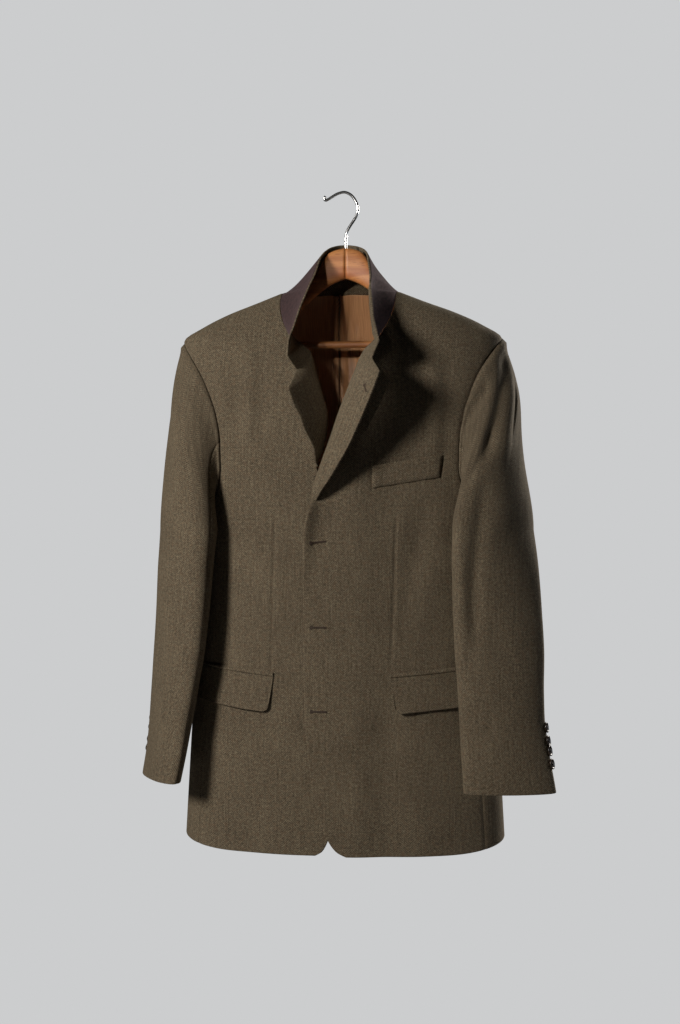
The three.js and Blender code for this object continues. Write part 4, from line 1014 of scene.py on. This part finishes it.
u, v = np.meshgrid(np.linspace(0, 1, 60), np.linspace(0, 1, 16))
x = (1 - v) * (50 + 95 * u) + v * (50 + 91 * u)
z = (1 - v) * (-392 + 15 * u) + v * (-422 + 15 * u)
edge = np.minimum(np.minimum(u, 1 - u) * 95, (1 - v) * 30)
patch("welt_breast", "left", x, z, 1.5 + 1.2 * smooth(edge, 0, 5), 1.4, ["breast_welt"])

FLAP_CORNER, FLAP_DEEP = 11, 49
POCKET_TOP, POCKET_RISE, POCKET_OUTER = -684, 11, 206
for side in ("left", "right"):
    sign, inner = SIDE[side], POCKET_INNER[side]
    s = np.concatenate([np.linspace(0, 0.12, 14), np.linspace(0.12, 0.9, 60)[1:-1], np.linspace(0.9, 1, 12)])
    u, v = np.meshgrid(s, np.linspace(0, 1, 30))
    wide = POCKET_OUTER - inner
    top = POCKET_TOP + POCKET_RISE * u
    near = np.maximum(0, FLAP_CORNER - u * wide)
    rounding = FLAP_CORNER - np.sqrt(FLAP_CORNER**2 - near**2)
    x = sign * (inner + wide * u + 6 * v * (1 - u))
    z = top - v * (FLAP_DEEP - rounding)
    stand = 1.6 + 1.4 * v + 3.2 * v**2 * (1 + 0.4 * np.sin(u * 9 + sign))
    patch(f"flap_{side}", side, x, z, stand, 1.5, [f"{side}_flap"])
    u, v = np.meshgrid(np.linspace(0, 1, 90), np.linspace(0, 1, 9))
    x, z = sign * (inner + wide * u), POCKET_TOP + POCKET_RISE * u + 0.4 + 5.2 * (1 - v)
    patch(f"jet_{side}", side, x, z, 1.4 + 1.2 * np.sin(math.pi * v) ** 0.7, 1.3, [f"{side}_jet"])

# %% [markdown]
# ## Buttonholes
# A tailored buttonhole is a slit with a round eye at its front end, worked all round in silk twist. A tube
# along the stitched line, flattened by lying half in the cloth, gives the raised cord; a dark tube down the
# slit is painted shade for the shadow in the cut.


# %% Tubes and buttonholes
def tube(points, radius, sides=8, closed=False):
    """Rings of points round a path, and their faces."""
    p = np.asarray(points, float)
    if closed:
        along = np.roll(p, -1, 0) - np.roll(p, 1, 0)
    else:
        along = np.gradient(p, axis=0)
    along /= np.linalg.norm(along, axis=1, keepdims=True)
    hint = np.array([0, 1.0, 0]) if abs(along[:, 1]).max() < 0.95 else np.array([1.0, 0, 0])
    a = np.cross(along, hint)
    a /= np.linalg.norm(a, axis=1, keepdims=True)
    b = np.cross(along, a)
    turn = np.arange(sides) * 2 * math.pi / sides
    radius = np.broadcast_to(radius, len(p))[:, None, None]
    c, s = np.cos(turn)[None, :, None], np.sin(turn)[None, :, None]
    rings = p[:, None] + radius * (a[:, None] * c + b[:, None] * s)
    count, faces = len(p), []
    for i in range(count if closed else count - 1):
        for j in range(sides):
            k, n = (i + 1) % count, (j + 1) % sides
            faces.append((i * sides + j, i * sides + n, k * sides + n, k * sides + j))
    if not closed:
        faces.append(tuple(range(sides))[::-1])
        faces.append(tuple((count - 1) * sides + j for j in range(sides)))
    return rings.reshape(-1, 3), faces


def keyhole(long, half, eye):
    """Outline of a buttonhole along +a from its eye, in millimetres."""
    turn = np.linspace(0.55, 2 * math.pi - 0.55, 14)
    outline = [(-eye * math.cos(t), eye * math.sin(t)) for t in turn]
    outline = [(a + eye, b) for a, b in outline][::-1]
    straight = np.linspace(2 * eye, long, 14)
    return [(a, half) for a in straight[::-1]] + outline + [(a, -half) for a in straight]


def buttonhole(name, at, long=23, lift=1.3):
    """Works a buttonhole; `at` turns (a, b) in millimetres into a point and a normal of the cloth."""
    path = [at(a, b) for a, b in keyhole(long, 0.6, 2.1)]
    cord = np.array([p + n * lift for p, n in path])
    verts, faces = tube(cord, 0.6, 8, closed=True)
    slit = [at(a, 0) for a in np.linspace(0.6, long - 0.5, 12)]
    more, extra = tube(np.array([p + n * (lift - 0.4) for p, n in slit]), 0.6, 6)
    add_mesh(f"{name}_twist", verts, faces, THREAD)
    # Painted shade: a near-black tube down the slit.
    add_mesh(f"{name}_slit", more, extra, SHADE)


def front_spot(side, x0, z0, slope=0.0):
    """A function for buttonhole(): places on a front, along a line from (x0, z0) that may slope."""
    def at(a, b):
        c, s = math.cos(slope), math.sin(slope)
        x = np.array([[x0 + a * c - b * s + k for k in (0, 1)]] * 2)
        z = np.array([[z0 + a * s + b * c] * 2, [z0 + a * s + b * c - 1] * 2])
        p = on_front(side, x, z)
        n = np.cross(p[0, 1] - p[0, 0], p[1, 0] - p[0, 0])
        n *= -np.sign(n[1])
        return p[0, 0], n / np.linalg.norm(n)
    return at


for i, (level, slope) in enumerate(zip(BUTTON_LEVELS, (0.12, 0.0, 0.0))):
    buttonhole(f"buttonhole_{i + 1}", front_spot("left", -37, level, slope), lift=0.5)

# %% The lapel's buttonhole
def lapel_spot(first, last):
    """Places on the left facing along a line between two grid places (level, column)."""
    grid = fronts["left"]
    ends = [np.array([np.interp(-z0, -LEVELS, grid[:, column, c]) for c in range(3)])
            for z0, column in (first, last)]
    one = (ends[1] - ends[0]) / np.linalg.norm(ends[1] - ends[0])
    row, column = int(np.argmin(np.abs(LEVELS - first[0]))), first[1]
    n = np.cross(grid[row, column + 2] - grid[row, column], grid[row + 3, column] - grid[row, column])
    n *= -np.sign(n[0]) / np.linalg.norm(n)
    two = np.cross(n, one)
    return lambda a, b: (ends[0] + one * a + two * b, n)


spot = lapel_spot((-278, 3), (-290, 1))
buttonhole("buttonhole_lapel", spot, long=14, lift=2.8)
print("lapel hole", spot(0, 0))

# %% [markdown]
# ## Buttons
# Horn buttons are turned on a lathe, so half an outline spun round an axis is the true shape: a raised
# rim, a dished middle and a flat back. Four holes are drilled through and the thread crosses in them. The
# holes are short dark plugs here, painted shade for the shadow inside them, since nothing can be seen
# through them once the button is sewn on.


# %% Turn a button
#                 share of the radius, share of the thickness
BUTTON_OUTLINE = [(0, 0), (0.8, 0), (0.94, 0.12), (1, 0.42), (0.985, 0.75), (0.93, 0.95), (0.86, 1.0),
                  (0.78, 0.96), (0.7, 0.8), (0.62, 0.68), (0.4, 0.62), (0, 0.6)]


def button(name, radius, thick, place, normal, hide):
    """A sewn-on button: the turned disc, its four holes and its crossed thread."""
    sides, verts, faces = 48, [], []
    for r, h in BUTTON_OUTLINE:
        for j in range(sides):
            t = 2 * math.pi * j / sides
            verts.append((radius * r * math.cos(t), radius * r * math.sin(t), thick * h))
    for i in range(len(BUTTON_OUTLINE) - 1):
        for j in range(sides):
            k = (j + 1) % sides
            faces.append((i * sides + j, i * sides + k, (i + 1) * sides + k, (i + 1) * sides + j))
    turn = Vector((0, 0, 1)).rotation_difference(Vector(normal)).to_matrix()

    def at(points):
        return np.array([turn @ Vector(p) for p in points]) + place + np.asarray(normal) * 0.35

    thing = add_mesh(name, at(verts), faces, HORN, hide=[hide])
    hole, gap = radius * 0.1, radius * 0.24
    more, extra = [], []
    for a, b in ((1, 1), (1, -1), (-1, -1), (-1, 1)):
        ring, cap = tube([(gap * a, gap * b, 0.3 * thick), (gap * a, gap * b, 0.64 * thick)], hole, 10)
        extra += [[f + len(more) for f in face] for face in cap]
        more += ring.tolist()
    # Painted shade: short near-black plugs in the four holes.
    add_mesh(name + "_holes", at(more), extra, SHADE)
    more, extra = [], []
    for a in (1, -1):
        line = [(gap * a * (1 - 2 * s), gap * (1 - 2 * s), thick * (0.62 + 0.18 * math.sin(math.pi * s)))
                for s in np.linspace(0, 1, 7)]
        ring, cap = tube(line, radius * 0.07, 6)
        extra += [[f + len(more) for f in face] for face in cap]
        more += ring.tolist()
    add_mesh(name + "_thread", at(more), extra, THREAD)
    return thing


for i, level in enumerate(BUTTON_LEVELS):
    place = body(angle_at(-14, level), level)
    button(f"button_front_{i + 1}", 10, 3.2, place, (0, -1, 0), f"front_button_{i + 1}")

# Each button sits on the net's row nearest its level, so the four come out 13.7 to 18.8 mm apart.
CUFF_PLACE, CUFF_FIRST, CUFF_PITCH = -84, -751, 15.3  # place round the sleeve, top level, spacing
for side in ("left", "right"):
    grid = sleeves[side, "top"]
    column = int(np.argmin(np.abs(np.linspace(HIND - 360, FOREARM, grid.shape[1]) - CUFF_PLACE)))
    for i in range(4):
        row = int(np.argmin(np.abs(grid[:, column, 2] - (CUFF_FIRST - CUFF_PITCH * i))))
        here = grid[row, column]
        n = np.cross(grid[row, column + 2] - here, grid[row + 3, column] - here)
        n = n / np.linalg.norm(n) * np.sign((n * out_of_sleeve(side)(here)).sum())
        button(f"button_cuff_{side}_{i + 1}", 7.4, 2.6, here, n, f"{side}_cuff_button_{i + 1}")

# %% [markdown]
# ## The hanger
# Two arms are cut from beech, contoured like shoulders, and meet in a mitre with the hook between them. A
# dowel runs across for trousers. Sections laid along the arm give its swelling shape; the wood's grain
# follows the length in the material.

# %% Arms, bar and hook
#      out, top, bottom, half
ARM = [(0.15, -78, -122, 8), (12, -80, -126, 8.2), (24, -85, -132, 8.6), (34, -99, -139, 9),
       (50, -125, -152, 10), (68, -145, -169, 12), (92, -160, -183, 15), (125, -168, -194, 18),
       (160, -177, -204, 20), (180, -186, -226, 20), (200, -198, -230, 18), (209, -208, -224, 12)]
CENTRE = 1.5  # the mitre lies this far to the wearer's left of the hook's bearing point
CLOTH, AIR = 1.3 * 1.15, 0.8  # from the cloth's outer face down to the wood that carries it


def shoulder_height(side, out):
    """How high the shoulder line lies, at a distance out from the mitre."""
    levels = np.array([-143.0, -157, -173, -191, -210])
    line = body(SIDE[side] * 90, levels)
    return np.interp(out, SIDE[side] * (line[:, 0] - CENTRE), line[:, 2])


for side in ("left", "right"):
    out = spaced([row[0] for row in ARM], 4)
    table = [(-row[0], *row[1:]) for row in ARM]
    top, bottom, half = (curve(table, k, -out) for k in (1, 2, 3))
    carried = shoulder_height(side, out) - CLOTH - AIR
    top = np.where(out > 110, np.minimum(top + 12, carried), top)
    sides = 36
    turn = np.arange(sides) * 2 * math.pi / sides
    c, s = np.cos(turn), np.sin(turn)
    reach = (np.abs(c) ** 3 + np.abs(s) ** 3) ** (-1 / 3)
    x = np.broadcast_to((CENTRE + SIDE[side] * out)[:, None], (len(out), sides))
    y = half[:, None] * (reach * c)
    z = ((top + bottom) / 2)[:, None] + ((top - bottom) / 2)[:, None] * (reach * s)
    verts = np.stack([x, y, z], -1).reshape(-1, 3)
    faces = []
    for i in range(len(out) - 1):
        for j in range(sides):
            k = (j + 1) % sides
            faces.append((i * sides + j, i * sides + k, (i + 1) * sides + k, (i + 1) * sides + j))
    faces += [tuple(range(sides))[::-1], tuple((len(out) - 1) * sides + j for j in range(sides))]
    if side == "right":
        faces = [face[::-1] for face in faces]
    add_mesh(f"hanger_{side}", verts, faces, BEECH, hide=[f"hanger_arm_{side}"])

BAR_HALF, BAR_LEVEL, BAR_RADIUS = 183, -216, 5
bar_line = [(x, 0, BAR_LEVEL) for x in np.linspace(CENTRE - BAR_HALF, CENTRE + BAR_HALF, 40)]
verts, faces = tube(bar_line, BAR_RADIUS, 24)
add_mesh("bar", verts, faces, BEECH, hide=["trouser_bar"])

HOOK = [(-27.5, -3.5), (-29.6, -6), (-28, -9), (-24, -7.6), (-18, -4), (-9, 0.6), (0, 2), (8, -1.5),
        (14.5, -9), (18.3, -19), (17.4, -30), (13.2, -38), (7.5, -46.5), (3, -55), (CENTRE, -64),
        (CENTRE, -78), (CENTRE, -106)]
WIRE_RADIUS = 2


def through(points, step=1.2):
    """A smooth path through points, with each tangent set by its two neighbours."""
    p = np.array([(x, 0, z) for x, z in points], float)
    d = np.linalg.norm(np.diff(p, axis=0), axis=1)
    tangent = np.gradient(p, np.concatenate([[0], np.cumsum(d)]), axis=0)
    out = []
    for i in range(len(d)):
        s = np.linspace(0, 1, max(2, int(d[i] / step)), endpoint=False)[:, None]
        h = 2 * s**3 - 3 * s**2 + 1
        out.append(h * p[i] + (1 - h) * p[i + 1] + (s**3 - 2 * s**2 + s) * d[i] * tangent[i]
                   + (s**3 - s**2) * d[i] * tangent[i + 1])
    return np.concatenate(out + [p[-1:]])


verts, faces = tube(through(HOOK), WIRE_RADIUS, 16)
add_mesh("hook_wire", verts, faces, CHROME, hide=["hook"])

# %% [markdown]
# ## How big each piece of cloth is
# Each cloth piece's size and area are printed. No flat pattern was drafted first: both are read
# off the finished net, so they can't show whether the hanging shape was stretched from a flat cut.

for name, (thing, wide, long, area) in CUTS.items():
    print(f"{name}: {wide:.3f} x {long:.3f} m, {area:.4f} m2")

# %% [markdown]
# ## Lights, camera and floor
# One hard lamp from the wearer's right makes the folds and the standing lapels read, and a weak fill keeps
# the shaded side from going black. Four thin beams from the front reach the lining between the collar's
# ends, where the lamp's light can't fall. The lamp behind shows the back's seam and folds. The floor is
# far below, where a wardrobe rod would leave it.

# %% Studio
scene = bpy.context.scene
scene.view_settings.view_transform = "Standard"
world = bpy.data.worlds.new("studio")
scene.world = world
world.use_nodes = True
tree = world.node_tree
tree.nodes.clear()
seen = node(tree, "ShaderNodeLightPath").outputs["Is Camera Ray"]
colour = node(tree, "ShaderNodeMix", COLOURS, i0=seen, i6=linear("#0A0A0B"), i7=linear("#CCCDCE"))
strength = node(tree, "ShaderNodeBackground", Color=colour.outputs[2], Strength=1.0)
node(tree, "ShaderNodeOutputWorld", Surface=strength.outputs[0])


def lamp(name, place, aim, size, watts, hex_colour, kind="AREA"):
    """A light at a place, turned to a point; size is its disc's width or a beam's softness, in metres."""
    data = bpy.data.lights.new(name, kind)
    data.energy, data.color = watts, linear(hex_colour)[:3]
    if kind == "AREA":
        data.shape, data.size = "DISK", size
    else:
        data.shadow_soft_size = size
    thing = bpy.data.objects.new(name, data)
    scene.collection.objects.link(thing)
    thing.location = place
    thing.rotation_euler = (Vector(aim) - Vector(place)).to_track_quat("-Z", "Y").to_euler()
    return thing


lamp("key", (-1.42, -1.72, 0.2), (0, 0, -0.42), 0.55, 46, "#FFF9F1")
#        x of the beam, x and z of what it lights
BEAMS = [(-0.75, 0.005, -0.11), (-0.75, 0.008, -0.17), (-0.45, 0.014, -0.235), (-0.12, 0.007, -0.3)]
for i, (start, aim, height) in enumerate(BEAMS):
    beam = lamp(f"beam_{i + 1}", (start, -3.0, 0.0), (aim, 0, height), 0.05, 160, "#FFF6EA", "SPOT")
    beam.data.spot_size, beam.data.spot_blend = math.radians(1.95), 0.9
lamp("fill", (2.4, 0.3, -0.3), (0.25, 0, -0.45), 1.0, 6.5, "#E8EEF6")
lamp("back", (1.9, 2.3, 0.5), (0, 0, -0.45), 1.0, 75, "#FFF9F1")
FLOOR, REACH = -1.9, 2  # level of the floor and half its width
plane = bpy.data.meshes.new("floor")
corners = [(-REACH, -REACH, FLOOR), (REACH, -REACH, FLOOR), (REACH, REACH, FLOOR), (-REACH, REACH, FLOOR)]
plane.from_pydata(corners, [], [(0, 1, 2, 3)])
FLOOR_PAINT, tree, principled = material("floor_paint", Roughness=0.8, Base_Color=linear("#C9CACB"))
plane.materials.append(FLOOR_PAINT)
floor = bpy.data.objects.new("floor", plane)
scene.collection.objects.link(floor)

lens = bpy.data.cameras.new("camera")
lens.sensor_fit, lens.sensor_height, lens.lens = "VERTICAL", 24, 40.98
camera = bpy.data.objects.new("camera", lens)
camera.location = (0.2977, -2.4814, -0.455)
camera.rotation_euler = (math.radians(90), 0, math.radians(7))
scene.collection.objects.link(camera)
scene.camera = camera
